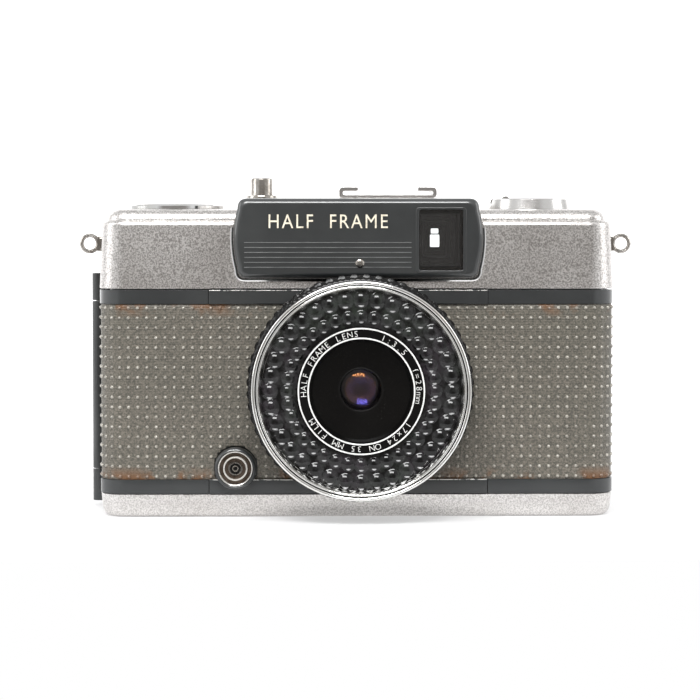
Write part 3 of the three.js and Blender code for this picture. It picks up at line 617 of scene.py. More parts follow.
def combine(base, others, operation):
    """Joins other meshes to base, or cuts them from it, and removes them."""
    for other in others:
        step = base.modifiers.new("step", "BOOLEAN")
        step.operation = operation
        step.solver = "EXACT"
        step.object = other
        graph = bpy.context.evaluated_depsgraph_get()
        mesh = bpy.data.meshes.new_from_object(base.evaluated_get(graph))
        base.modifiers.clear()
        base.data = mesh
        bpy.data.objects.remove(other)
    return base


def cut(base, cutters):
    """Cuts closed meshes from base and removes them."""
    for cutter in cutters:
        outward(cutter)
    return combine(base, cutters, "DIFFERENCE")


def merge(name, parts):
    """One object that holds the meshes of several."""
    bm = bmesh.new()
    for part in parts:
        bm.from_mesh(part.data)
        bpy.data.objects.remove(part)
    mesh = bpy.data.meshes.new(name)
    bm.to_mesh(mesh)
    bm.free()
    return put(name, mesh)


def letters(name, words, size, thickness, thin=0.0, spacing=1.0):
    """Text as a mesh in its own X-Y plane, centred, with its top face at z 0. thin slims the strokes."""
    curve = bpy.data.curves.new(name, "FONT")
    curve.body = words
    curve.size = size * MM
    curve.extrude = thickness * MM / 2
    curve.offset = -thin * MM
    curve.space_character = spacing
    curve.align_x = "CENTER"
    curve.resolution_u = 3
    text = put(name, curve)
    graph = bpy.context.evaluated_depsgraph_get()
    mesh = bpy.data.meshes.new_from_object(text.evaluated_get(graph))
    bpy.data.objects.remove(text)
    return put(name, mesh)


BODY_OF = {n: body for body, names in frame["record"]["behaviour"]["bodies"].items() for n in names}
SLOT_OF = {s["node"]: s["material_slot"] for s in frame["record"]["subparts"]}
LOOK_OF = {
    "satin_chrome": satin_chrome,
    "bright_chrome": bright_chrome,
    "grey_casting": grey_enamel,
    "grey_paint": grey_enamel,
    "leatherette": leatherette,
    "black_anodised": black_enamel,
    "black_paint": black_enamel,
    "black_plastic": black_plastic,
    "lens_glass": clear_glass,
    "bubble_glass": bubble_glass,
    "steel": steel_plain,
    "cell_dark": selenium,
    "red_flag": red_enamel,
}


LOOK_OF_NODE = {
    "rewind_knob": smooth_plate,
    "counter_cover": bright_chrome,
    "accessory_shoe": smooth_plate,
    "shutter_button": dull_chrome,
    "button_collar": dull_chrome,
    # The base wears a lighter copy of the cover's plate: painted light.
    "bottom_cover": lit_satin_chrome,
}


def stand_in(obj, node, look=None, **options):
    """Dresses a fine mesh that takes the place of one CAD node."""
    look = look or LOOK_OF_NODE.get(node) or LOOK_OF[SLOT_OF[node]]
    return dress(obj, look, SLOT_OF[node], BODY_OF[node], (node,), **options)


def add_on(obj, node, look, **options):
    """Dresses a piece of detail that rides with a CAD node but replaces nothing."""
    return dress(obj, look, SLOT_OF[node], BODY_OF[node], **options)


def turned(node, profile, centre, segments=96, axis="y", wave=None, look=None, **options):
    """A turned mesh that takes the place of one CAD node."""
    obj = lathe(node + "_fine", profile, centre, axis, segments, wave)
    return stand_in(obj, node, look, **options)


def refine(node, bevel=0.12, look=None, angle=28):
    """A CAD node's own shape with welded faces, smooth rounds and broken edges."""
    mesh = frame["nodes"][node].data.copy()
    mesh.attributes.remove(mesh.attributes["custom_normal"])
    bm = bmesh.new()
    bm.from_mesh(mesh)
    bmesh.ops.remove_doubles(bm, verts=bm.verts, dist=3e-6)
    bmesh.ops.dissolve_limit(bm, angle_limit=math.radians(1), verts=bm.verts, edges=bm.edges)
    bm.to_mesh(mesh)
    bm.free()
    return stand_in(put("fine_" + node, mesh), node, look, bevel=bevel, angle=angle)


# ---- Top cover and finder plate ----
BULGE = 0.9
PLATE_CORNER = 2.2
SHOULDER_Z = 64.3
TIER_Z = BODY_HIGH[2] - 2.4


def curve_points(a, control, b, steps):
    points = []
    for i in range(steps):
        t = i / steps
        points.append(tuple(
            (1 - t) ** 2 * p + 2 * t * (1 - t) * c + t * t * q for p, c, q in zip(a, control, b)
        ))
    return points


def barrel(inset, bottom=None, bulge=BULGE, corner=PLATE_CORNER):
    """The plate's outline from the front, with bowed sides: (x, z) points."""
    left, right = PLATE_LOW[0] + BULGE + inset, PLATE_HIGH[0] - BULGE - inset
    low, high = (bottom if bottom is not None else PLATE_LOW[2]) + inset, PLATE_HIGH[2] - inset
    mid = (low + high) / 2
    c = corner
    sides = (
        ((left + c, low), None, (right - c, low)),
        ((right - c, low), (right, low), (right, low + c)),
        ((right, low + c), (right + 2 * bulge, mid), (right, high - c)),
        ((right, high - c), (right, high), (right - c, high)),
        ((right - c, high), None, (left + c, high)),
        ((left + c, high), (left, high), (left, high - c)),
        ((left, high - c), (left - 2 * bulge, mid), (left, low + c)),
        ((left, low + c), (left, low), (left + c, low)),
    )
    points = []
    for a, control, b in sides:
        points += [a] if control is None else curve_points(a, control, b, 12)
    return points


def barrel_loft(name, levels, **shape):
    """levels are [y, inset] pairs from front to back."""
    return stack(name, [[(x, y, z) for x, z in barrel(inset, **shape)] for y, inset in levels])


def quarter_round(start, size, inset, steps=5, flip=False):
    """[place, inset] pairs of a rounded edge that starts inset at start."""
    pairs = []
    for i in range(steps + 1):
        a = math.pi / 2 * i / steps
        pairs.append((start + size * (1 - math.cos(a)), inset * (1 - math.sin(a))))
    if flip:
        pairs = [(2 * start + size - p, i) for p, i in reversed(pairs)]
    return pairs


def cover_skin(name, wall=0.0):
    """The two-tiered cover. wall draws the whole skin inwards, for its hollow."""
    low = BODY_LOW[2]
    levels = [(low, 0.12), (low + 0.12, 0.0), (63.2, 0.72)]
    levels += [(63.5, 0.75), (63.8, 0.83), (64.03, 0.98), (64.2, 1.22), (SHOULDER_Z, 1.55), (64.3, 1.8)]
    for i in range(9):
        a = math.pi / 2 * i / 8
        levels.append((64.42 + (TIER_Z - 64.42) * math.sin(a), 1.95 + 2.6 * (1 - math.cos(a))))
    if wall:
        levels = [(low - 5, 2.0), (62.8, 2.0), (62.81, 4.0), (64.6, 4.0), (TIER_Z - wall, 5.4)]
    return loft(name, levels)


def make_hump():
    """The raised middle of the cover, rounded towards the back."""
    back, round_off = 12.0, 1.0
    levels = [(-12.9, 0.0), (back, 0.0)]
    for a in (0.3, 0.6, 0.9, 1.2, 1.5):
        levels.append((back + round_off * math.sin(a), round_off * (1 - math.cos(a))))
    return barrel_loft("hump", levels, bottom=58, bulge=0)


def room_round(node, y0, y1, grow_x, grow_z, radius=0.0):
    """A cutter round a node's outline from the front, grown by its own amount each way."""
    low, high = extent(node)
    return block("room", (low[0] - grow_x, y0, low[2] - grow_z), (high[0] + grow_x, y1, high[2] + grow_z),
                 radius, "y")


def make_cover_cutters():
    """The hollow of the cover, the rooms round its neighbours and the holes in its top."""
    wall, inside, outside = 1.1, 60, 75
    wheel_low, wheel_high = extent("thumbwheel")
    door_low, door_high = extent("back_door")
    door_y = door_low[1] + DOOR_LAP
    lug_z = middle("strap_lug_left")[2]
    cutters = [
        cover_skin("hollow", wall),
        block("hump_hollow", (PLATE_LOW[0] + 2, -11.6, inside),
              (PLATE_HIGH[0] - 2, 11.6, PLATE_HIGH[2] - wall)),
        barrel_loft("plate_pocket", [(-20, -0.25), (PLATE_HIGH[1] + 0.15, -0.25)]),
        block("door_room", (-60, door_y, 40), (60, 20, door_high[2] + 0.2)),
        block("wheel_room", (wheel_low[0] + 0.8, door_y, 52),
              (wheel_high[0] - 0.8, 20, wheel_high[2] + 0.6), 1.2, "y"),
        room_round("finder_window", -20, -10, 1.2, 1.2),
        room_round("eyepiece_frame", 13.6, 20, 0.15, 0.15, 1.65),
        room_round("eyepiece_frame", 10, 20, -1.2, -0.8),
        block("left_slot", (-60, -1.6, lug_z - 1.6), (-50, 1.6, lug_z + 1.6)),
        block("right_slot", (50, -1.6, lug_z - 1.6), (60, 1.6, lug_z + 1.6)),
    ]
    shoe = ((SHOE_LOW[0] + SHOE_HIGH[0]) / 2, 0)
    for (x, y, *_), r in ((COUNTER, 2.2), (KNOB, 2.6), (BUTTON, 3.1), (shoe, 2.0)):
        cutters.append(lathe("hole", ring(0.001, r, inside, outside), (x, y, 0), "z", 32))
    return cutters


def make_top_cover():
    cover = cover_skin("top_cover_fine")
    combine(cover, [make_hump()], "UNION")
    cut(cover, make_cover_cutters())
    stand_in(cover, "top_cover", weighted=True, angle=30)


def sweep(name, path, section):
    """Carries a section along an open path. section gives the ring of points at each place."""
    rings = [section(path, i) for i in range(len(path))]
    return stack(name, rings)


def round_section(radius, steps=8):
    """A ring across a path of (x, y, z) points that lies nearly in the X-Z plane."""

    def section(path, i):
        a = Vector(path[max(i - 1, 0)])
        b = Vector(path[min(i + 1, len(path) - 1)])
        along = (b - a).normalized()
        across = along.cross(Vector((0, 1, 0))).normalized()
        up = across.cross(along).normalized()
        centre = Vector(path[i])
        ring_points = []
        for k in range(steps):
            angle = 2 * math.pi * k / steps
            ring_points.append(centre + radius * (across * math.cos(angle) + up * math.sin(angle)))
        return ring_points

    return section


def make_plate_surround():
    """The polished lip of the cover round the lower part of the plate."""
    points = [p for p in barrel(-0.42) if p[1] < SHOULDER_Z - 0.6]
    start = max(range(len(points)), key=lambda i: (points[i][0] < 0) * points[i][1])
    points = points[start:] + points[:start]
    path = [(x, FRONT_Y + 0.054 * (z - BODY_LOW[2]) + 0.12, z) for x, z in points]
    add_on(sweep("plate_surround", path, round_section(0.34)), "top_cover", bright_chrome)


def make_plate():
    y0, y1 = PLATE_LOW[1], PLATE_HIGH[1]
    plate = barrel_loft("faceplate_fine", [*quarter_round(y0, 1.6, 1.3, 7), (y1, 0.0)])
    cut(plate, [room_round("finder_window", -20, 0, 0.15, 0.15, 0.5)])
    stand_in(plate, "faceplate", weighted=True, angle=40)
    rim = block("window_rim", (WINDOW_LOW[0] - 0.75, y0 - 0.12, WINDOW_LOW[2] - 0.75),
                (WINDOW_HIGH[0] + 0.75, y0 + 0.5, WINDOW_HIGH[2] + 0.55), 0.8, "y")
    cut(rim, [room_round("finder_window", y0 - 2, y0 + 2, 0.05, 0.05, 0.4)])
    add_on(rim, "faceplate", grey_enamel, bevel=0.14)


LINE_COUNT = 6
LINE_LOW = 54.32
LINE_PITCH = 1.066
LINE_HALF = 0.085
LINE_ENDS = (PLATE_LOW[0] + 2.4, 11.1)
WORDS_Z = 62.75


def make_plate_lines():
    y = PLATE_LOW[1]
    left, right = LINE_ENDS
    bars = []
    for i in range(LINE_COUNT):
        z = LINE_LOW + LINE_PITCH * i
        low, high = (left, y - 0.1, z - LINE_HALF), (right, y + 0.1, z + LINE_HALF)
        bars.append(block("bar", low, high, 0.07, "x", 3))
    add_on(merge("plate_lines", bars), "faceplate", line_paint)


def make_plate_words():
    """What the thing is, in plain narrow letters over the lines."""
    words = letters("plate_words", "HALF  FRAME", 4.3, 0.2, spacing=1.22)
    turn = Matrix.Rotation(math.pi / 2, 4, "X")
    place = shift(sum(LINE_ENDS) / 2, PLATE_LOW[1] - 0.05, WORDS_Z)
    words.data.transform(place @ turn @ Matrix.Diagonal((0.86, 1.0, 1.0, 1.0)))
    add_on(words, "faceplate", cream_paint, angle=40)


def make_index_stud():
    x, _, z = middle("index_stud")
    dome = []
    for i in range(8):
        a = math.pi * i / 16
        dome.append((0.98 * math.cos(a), -16.62 - 0.42 * math.sin(a)))
    profile = [(0.001, -14.0), (0.45, -14.0), (0.45, -16.5), (0.98, -16.5), *dome, (0.001, -17.04)]
    turned("index_stud", profile, (x, 0, z), 48, look=dull_chrome)


def make_panel_edges():
    """Upper edges of the two lips of the front panel, on each side of the lens: worn paint whose bare
    patches are also a painted highlight line.
    """
    (x0, y, _), (x1, _, top) = extent("front_panel")
    ring_radius = (extent("aperture_ring")[1][0] - extent("aperture_ring")[0][0]) / 2
    bars = []
    for z in (LEATHER_LOW[2], top):
        reach = math.sqrt(ring_radius ** 2 - (z - LENS[2]) ** 2)
        for a, b in ((x0 + 0.1, LENS[0] - reach), (LENS[0] + reach, x1 - 0.1)):
            bars.append(block("edge", (a, y - 0.06, z - 0.16), (b, y + 0.1, z + 0.04), 0.05, "x", 3))
    add_on(merge("panel_edges", bars), "front_panel", chipped_edge_and_highlight)


def make_lugs():
    """Strap eyes of round section on flat feet that pass into the cover."""
    for node, side in (("strap_lug_left", -1), ("strap_lug_right", 1)):
        low, high = extent(node)
        x = low[0] + 2.25 if side < 0 else high[0] - 2.25
        z = (low[2] + high[2]) / 2
        turns = [2 * math.pi * i / 14 for i in range(14)]
        profile = [(1.78 + 0.46 * math.cos(a), 0.6 * math.sin(a)) for a in turns]
        lug = lathe(node + "_fine", profile, (x, 0, z), "y", 64)
        pieces = []
        for near, far, tall, thick in ((1.65, 2.6, 1.7, 0.5), (2.3, 4.55, 1.35, 1.2)):
            a, b = sorted((x - side * near, x - side * far))
            pieces.append(block("foot", (a, -thick, z - tall), (b, thick, z + tall), 0.3, "x", 4))
        for piece in (lug, *pieces):
            outward(piece)
        combine(lug, pieces, "UNION")
        stand_in(lug, node, dull_chrome, bevel=0.08)


# ---- Base ----
def make_bottom_cover():
    top = extent("bottom_cover")[1][2]
    levels = [(0.0, 2.3), (0.06, 1.9), (0.25, 1.42), (0.6, 1.0), (1.1, 0.7), (1.8, 0.48), (2.6, 0.36),
              (top - 0.12, 0.2), (top, 0.3)]
    cover = loft("bottom_cover_fine", levels)
    bush = middle("tripod_bush")
    button = middle("rewind_release_button")
    door_y = extent("back_door")[0][1] + DOOR_LAP
    cutters = [
        loft("hollow", [(1.1, 1.35), (12, 1.35)]),
        block("door_room", (-60, door_y, 1.15), (60, 20, 12)),
        lathe("hole", ring(0.001, 4.6, -1, 3), (bush[0], bush[1], 0), "z", 48),
        lathe("hole", ring(0.001, 2.5, -1, 3), (button[0], button[1], 0), "z", 40),
    ]
    cut(cover, cutters)
    stand_in(cover, "bottom_cover", weighted=True, angle=30)


# ---- Leather ----
DOT_PITCH = (1.98, 2.15)
DOT_START = (-50.0, 45.5)
DOT_RADIUS = 0.42
DOT_HEIGHT = 0.36
CELL = 0.66
LEATHER_SINK = 0.25


def wrapped_path(y_edge, back=False):
    """Plan points of the leather with their outward normals, evenly spaced, as (x, y, nx, ny, s)."""
    x0, x1 = BODY_LOW[0], BODY_HIGH[0]
    y = REAR_FACE if back else FRONT_Y
    sign = 1 if back else -1
    r = BODY_CORNER
    corner_y = y - sign * r
    path = []
    side = abs(y_edge - corner_y)
    arc = r * math.pi / 2
    width = (x1 - x0) - 2 * r
    total = 2 * side + 2 * arc + width
    steps = round(total / CELL)
    for i in range(steps + 1):
        d = total * i / steps
        s = d - (total / 2) + (x0 + x1) / 2
        if d <= side:
            path.append((x0, y_edge + sign * d, -1, 0, s))
        elif d <= side + arc:
            a = (d - side) / r
            path.append((x0 + r - r * math.cos(a), corner_y + sign * r * math.sin(a),
                         -math.cos(a), sign * math.sin(a), s))
        elif d <= side + arc + width:
            path.append((x0 + r + d - side - arc, y, 0, sign, s))
        elif d <= side + 2 * arc + width:
            a = (d - side - arc - width) / r
            path.append((x1 - r + r * math.sin(a), corner_y + sign * r * math.cos(a),
                         math.sin(a), sign * math.cos(a), s))
        else:
            rest = d - side - 2 * arc - width
            path.append((x1, corner_y - sign * rest, 1, 0, s))
    return path


def leather_dots_on(name, path, z0, holes, keep, sink):
    """Small closed domes on a square grid over the sheet, as one mesh."""
    profile = [(1.0, -0.35), (0.94, 0.2), (0.72, 0.62), (0.40, 0.9)]
    around = 8
    places = []
    for a, b in zip(path, path[1:]):
        first = math.ceil((a[4] - DOT_START[0]) / DOT_PITCH[0])
        while DOT_START[0] + first * DOT_PITCH[0] < b[4]:
            t = (DOT_START[0] + first * DOT_PITCH[0] - a[4]) / (b[4] - a[4])
            places.append([p + (q - p) * t for p, q in zip(a, b)])
            first += 1
    vertices, faces = [], []
    rows = int((DOT_START[1] - z0 - 0.5) / DOT_PITCH[1]) + 1
    for x, y, nx, ny, _ in places:
        normal = Vector((nx, ny, 0)).normalized()
        side = Vector((0, 0, 1)).cross(normal)
        for row in range(rows):
            z = DOT_START[1] - row * DOT_PITCH[1]
            if not keep(x, y, z) or any(math.hypot(x - cx, z - cz) < r + 0.7 for cx, cz, r in holes):
                continue
            centre = Vector((x, y, z)) - normal * sink
            start = len(vertices)
            for r, h in profile:
                for k in range(around):
                    a = 2 * math.pi * k / around
                    out = side * math.cos(a) + Vector((0, 0, math.sin(a)))
                    vertices.append(centre + normal * h * DOT_HEIGHT + out * r * DOT_RADIUS)
            vertices.append(centre + normal * DOT_HEIGHT)
            top = start + around * (len(profile) - 1)
            for level in range(start, top, around):
                for k in range(around):
                    m = (k + 1) % around
                    faces.append((level + k, level + m, level + around + m, level + around + k))
            faces += [(top + k, top + (k + 1) % around, top + around) for k in range(around)]
            faces.append(tuple(start + k for k in reversed(range(around))))
    return new_object(name, vertices, faces)


def leather_sheet(name, path, z0, z1, holes, keep, sink, floor=0.62):
    """A sheet of given thickness along the path. Its cells inside the round holes are left out."""
    rows = round((z1 - z0) / CELL)
    columns = len(path)
    vertices = []
    for depth in (sink, floor):
        for i, (x, y, nx, ny, _) in enumerate(path):
            for k in range(rows + 1):
                z = z0 + (z1 - z0) * k / rows
                at_edge = depth == sink and (k in (0, rows) or i in (0, columns - 1))
                h = -depth - (0.14 if at_edge else 0)
                px, pz = x, z
                for cx, cz, r in holes:
                    d = math.hypot(px - cx, pz - cz)
                    if ny < -0.5 and 0 < r - d < 0.8 * CELL:
                        px, pz = cx + (px - cx) * r / d, cz + (pz - cz) * r / d
                vertices.append((px + nx * h, y + ny * h, pz))

    def in_hole(i, k):
        x, _, _, ny, _ = path[i]
        z = z0 + (z1 - z0) * k / rows
        return ny < -0.5 and any(math.hypot(x - cx, z - cz) < r - 0.8 * CELL for cx, cz, r in holes)

    def index(i, k, layer):
        return (layer * columns + i) * (rows + 1) + k

    faces, edges = [], {}
    for i in range(columns - 1):
        for k in range(rows):
            corners = ((i, k), (i + 1, k), (i + 1, k + 1), (i, k + 1))
            x, y = [(a + b) / 2 for a, b in zip(path[i][:2], path[i + 1][:2])]
            z = z0 + (z1 - z0) * (k + 0.5) / rows
            if not keep(x, y, z) or any(in_hole(*c) for c in corners):
                continue
            faces.append(tuple(index(*c, 0) for c in corners))
            faces.append(tuple(index(*c, 1) for c in reversed(corners)))
            for pair in zip(corners, corners[1:] + corners[:1]):
                edges[frozenset(pair)] = None if frozenset(pair) in edges else pair
    for pair in edges.values():
        if pair:
            a, b = pair
            faces.append((index(*a, 0), index(*b, 0), index(*b, 1), index(*a, 1)))
    obj = new_object(name, vertices, faces)
    bm = bmesh.new()
    bm.from_mesh(obj.data)
    bmesh.ops.delete(bm, geom=[v for v in bm.verts if not v.link_faces], context="VERTS")
    bm.to_mesh(obj.data)
    bm.free()
    return obj


def cover_in_leather(node, path, holes, keep):
    z0, z1 = LEATHER_LOW[2], LEATHER_HIGH[2]
    sheet = leather_sheet(node + "_fine", path, z0, z1, holes, keep, LEATHER_SINK)
    stand_in(sheet, node, angle=60)
    dots = leather_dots_on(node + "_dots", path, z0, holes, keep, LEATHER_SINK)
    add_on(dots, node, leather_dots, angle=80)


def on_door(x, y, z):
    """The rear sheet stops short of the hinge and leaves a window that the latch slides in."""
    by_hinge = x < BODY_LOW[0] + 2.5 and y < HINGE_Y + 2.1
    beside_latch = x > BODY_HIGH[0] - 2.5 and y < LATCH_HIGH[1] + 0.9
    by_latch = beside_latch and LATCH_LOW[2] - LATCH_TRAVEL - 2 < z < LATCH_HIGH[2] + 2
    return not by_hinge and not by_latch


def make_leather():
    holes = ((LENS[0], LENS[2], 22.0), (SYNC[0], SYNC[2], 4.75))
    path = wrapped_path(min(LEATHER_HIGH[1], 6.5))
    cover_in_leather("front_leather_left", path, holes, lambda x, y, z: x < 0)
    cover_in_leather("front_leather_right", path, holes, lambda x, y, z: x > 0)
    cover_in_leather("back_leather", wrapped_path(10.4, back=True), (), on_door)


def make_door_corners():
    """Rounded corners of the door behind its leather, between the side walls and the back panel."""
    outer, inner, steps = BODY_CORNER - 0.66, BODY_CORNER - 0.96, 12
    for side, edge in ((-1, BODY_LOW[0]), (1, BODY_HIGH[0])):
        centre_x, centre_y = edge - side * BODY_CORNER, REAR_FACE - BODY_CORNER
        angles = [math.radians(30 + 45 * i / steps) for i in range(steps + 1)]
        section = [(r, a) for r, turns in ((outer, angles), (inner, angles[::-1])) for a in turns]
        points = [(centre_x + side * r * math.cos(a), centre_y + r * math.sin(a)) for r, a in section]
        rings = [[(x, y, z) for x, y in points] for z in (LEATHER_LOW[2] - 0.3, LEATHER_HIGH[2] + 0.3)]
        name = "door_corner_left" if side < 0 else "door_corner_right"
        add_on(stack(name, rings), "back_door", grey_enamel, angle=40)


# ---- Lens ----
def arc_profile(r0, y0, r1, y1, bow, steps=8):
    """Points from one [radius, y] point to another with a bow between them."""
    points = []
    length = math.hypot(r1 - r0, y1 - y0)
    nr, ny = (y1 - y0) / length, -(r1 - r0) / length
    for i in range(steps + 1):
        t = i / steps
        lift = 4 * bow * t * (1 - t)
        points.append((r0 + (r1 - r0) * t + nr * lift, y0 + (y1 - y0) * t + ny * lift))
    return points


LENS_CENTRE = (LENS[0], 0, LENS[2])
BEZEL_GROOVE = 22.34


def make_bezel():
    """A rim of two turned ridges with a groove between them, and a slanted inner wall."""
    f = LENS_FRONT
    inner = [(20.65, -26.1), (20.65, -25.4), (23.2, -25.4)]
    ridges = []
    for r0, r1, top in ((23.2, 22.42, f), (22.27, 21.72, f + 0.12)):
        mid, half = (r0 + r1) / 2, (r0 - r1) / 2
        ridges.append((r0, top + 0.5))
        for i in range(7):
            a = math.pi * i / 6
            ridges.append((mid + half * math.cos(a), top + 0.3 * (1 - math.sin(a))))
        ridges.append((r1, top + 0.5))
    wall = [(21.62, f + 0.5), (21.08, -29.35), (21.05, -29.0), (21.05, -26.1)]
    turned("cell_bezel", inner + ridges + wall, LENS_CENTRE, 160, look=turned_chrome, angle=50)


BUMPS = 36
ROWS = ((19.33, 2.3, 1.69), (15.65, 1.8, 1.37))
FILLET = 0.3


def bubble_height(r, angle):
    """Height of the moulded window: two rows of round caps that run softly into the ground."""
    turn = angle / (2 * math.pi) * BUMPS
    across = r * (turn - round(turn)) * 2 * math.pi / BUMPS
    height = 0.0
    for centre, ball, foot in ROWS:
        d = math.hypot(across, r - centre)
        cap = math.sqrt(max(ball * ball - d * d, 0.0)) - math.sqrt(ball * ball - foot * foot)
        blend = max(FILLET - abs(height - cap), 0.0) / FILLET
        height = max(height, cap) + blend * blend * FILLET / 4
    return height


def make_window():
    """The bubbled window in front of the cell, as a grid in rings."""
    r0, r1 = 13.65, 21.0
    base, back = -29.25, -27.6
    across, around = 56, BUMPS * 18
    vertices = []
    for i in range(around):
        a = 2 * math.pi * i / around
        for k in range(across + 1):
            r = r0 + (r1 - r0) * k / across
            y = base - bubble_height(r, a)
            vertices.append((r * math.cos(a) + LENS[0], y, r * math.sin(a) + LENS[2]))
        for r in (r1, r0):
            vertices.append((r * math.cos(a) + LENS[0], back, r * math.sin(a) + LENS[2]))
    window = new_object("cell_window_fine", vertices, faces_round(around, across + 3))
    stand_in(window, "cell_window", angle=50)


def make_cell():
    """The dark cell with its fine collecting rings."""
    y = extent("selenium_cell")[0][1]
    profile = [(14.1, y + 0.8), (14.1, y)]
    r = 14.4
    while r < 20.3:
        profile += [(r, y), (r + 0.05, y - 0.1), (r + 0.2, y - 0.1), (r + 0.25, y)]
        r += 0.85
    profile += [(20.6, y), (20.6, y + 0.8)]
    turned("selenium_cell", profile, LENS_CENTRE, 120)


def arc_text(name, words, radius, middle_angle, size, y):
    """Letters round the lens, read clockwise, centred on an angle that counts up from the right."""
    step = size * 0.74 / radius
    start = middle_angle + step * (len(words) - 1) / 2
    parts = []
    for i, letter in enumerate(words):
        if letter == " ":
            continue
        part = letters("letter", letter, size, 0.06, 0.025)
        angle = start - step * i
        turn = Matrix.Rotation(math.pi / 2, 4, "X")
        spin = Matrix.Rotation(-(angle - math.pi / 2), 4, "Y")
        rise = shift(0, y, radius - size * 0.36)
        part.data.transform(shift(*LENS_CENTRE) @ spin @ rise @ turn)
        parts.append(part)
    return merge(name, parts)


def make_name_ring():
    """The black ring round the lens, with its two white lines and its words."""
    f = LENS_FRONT + 0.35
    profile = [(10.95, -25.4), (10.95, f + 0.25), (11.05, f), (11.35, f), (11.42, f + 0.12)]
    profile += [(13.0, f + 0.12), (13.08, f), (13.42, f), (13.5, f + 0.2), (13.5, -25.4)]
    turned("name_ring", profile, LENS_CENTRE, 144, look=deep_black)
    for name, r in (("ring_line_inner", 11.2), ("ring_line_outer", 13.25)):
        line = lathe(name, ring(r - 0.16, r + 0.16, f - 0.05, f + 0.1), LENS_CENTRE, "y", 144)
        add_on(line, "name_ring", white_paint, bevel=0.04)
    texts = (("HALF FRAME LENS", 139), ("1:3.5", 55), ("f=28mm", 6), ("17x24 ON 35 MM FILM", -92))
    for i, (words, degrees) in enumerate(texts):
        words_mesh = arc_text(f"ring_words_{i}", words, 12.2, math.radians(degrees), 1.8, f + 0.08)
        add_on(words_mesh, "name_ring", white_paint, angle=40)


def make_barrel():
    """The dark funnel behind the name ring, cut with fine steps that kill reflections."""
    profile = [(14.9, -24.6), (10.9, -24.6), (10.9, -29.7), (10.75, -29.7)]
    r, y = 10.3, -28.6
    while r > 4.9:
        profile += [(r, y), (r - 0.06, y + 0.3), (r - 0.34, y + 0.3)]
        r, y = r - 0.4, y + 0.3
    profile += [(4.5, -24.3), (4.3, -23.6), (4.3, -23.35)]
    profile += [(5.6, -23.3), (5.6, -20.2), (4.0, -20.2), (4.0, -19.6), (14.9, -19.6)]
    turned("lens_barrel", profile, LENS_CENTRE, 128, look=deep_black)


def bowl(r, y, depth, thickness, steps=14):
    """The profile of a thin round shell. A positive depth bulges towards the viewer."""
    front, rear = [], []
    for i in range(steps + 1):
        t = i / steps
        x = max(r * t, 0.001)
        sag = depth * (1 - t * t)
        front.append((x, y - sag))
        rear.append((x, y - sag + thickness))
    return front + rear[::-1]


def make_glass():
    """The front element with its amber film, a hollow blue film behind it, and the rear group."""
    turned("front_lens", bowl(5.3, -22.5, 1.95, 0.3), LENS_CENTRE, look=amber_coat)
    film = lathe("inner_surface", bowl(4.3, -21.9, -1.62, 0.2), LENS_CENTRE, "y", 96)
    add_on(film, "front_lens", blue_coat)
    rear = arc_profile(0.001, -14.7, 4.8, -13.6, -0.1) + arc_profile(4.8, -12.6, 0.001, -11.4, -0.1)
    turned("rear_lens", rear, LENS_CENTRE, 64, look=inner_lens)


def pane(name, node, bow):
    """A rectangular lens of the finder. Each face bows by its own amount over the pane."""
    low, high = extent(node)
    steps = 10
    sheets = []
    for y, lift in ((low[1], bow[0]), (high[1], bow[1])):
        sheet = []
        for i in range(steps + 1):
            for k in range(steps + 1):
                u, v = 2 * i / steps - 1, 2 * k / steps - 1
                rise = lift * (1 - (u * u + v * v) / 2)
                sheet.append(((low[0] + high[0]) / 2 + u * (high[0] - low[0]) / 2, y + rise,
                              (low[2] + high[2]) / 2 + v * (high[2] - low[2]) / 2))
        sheets += sheet
    row, layer = steps + 1, (steps + 1) ** 2
    faces = []
    for i in range(steps):
        for k in range(steps):
            a = i * row + k
            square = (a, a + row, a + row + 1, a + 1)
            faces += [square, tuple(layer + v for v in reversed(square))]
    border = [*range(steps)] + [steps + i * row for i in range(steps)]
    border += [layer - 1 - k for k in range(steps)] + [(steps - i) * row for i in range(steps)]
    for a, b in zip(border, border[1:] + border[:1]):
        faces.append((a, b, layer + b, layer + a))
    stand_in(new_object(name, sheets, faces), node, clear_glass, angle=40)


def make_finder():
    """The tube with its blackened steps, the lenses and the small mask before the eye."""
    pane("finder_window_fine", "finder_window", (0.0, 0.0))
    pane("finder_objective_fine", "finder_objective", (0.4, -0.2))
    pane("finder_eyepiece_fine", "finder_eyepiece", (0.1, 0.2))
    refine("finder_tube", look=tube_black)
    x, _, z = middle("finder_eyepiece")
    y = extent("finder_eyepiece")[0][1] - 1.6
    mask = block("finder_mask", (x - 3.3, y, z - 4.3), (x + 3.3, y + 0.4, z + 4.3), 0.6, "y")
    holes = [block("hole", (x - 1.32, y - 1, z - 2.05), (x + 1.42, y + 1, z + 1.22), 0.3, "y"),
             block("hole", (x - 1.1, y - 1, z + 1.47), (x + 1.12, y + 1, z + 2.8), 0.25, "y")]
    add_on(cut(mask, holes), "finder_tube", tube_black)


def knurl(count, depth, points, sharp=1.0):
    """A wave that presses grooves into chosen profile points of a turned ring."""

    def wave(angle, k):
        if k not in points:
            return 0.0
        return -depth * min(max(0.5 + sharp * math.cos(angle * count), 0.0), 1.0)

    return wave


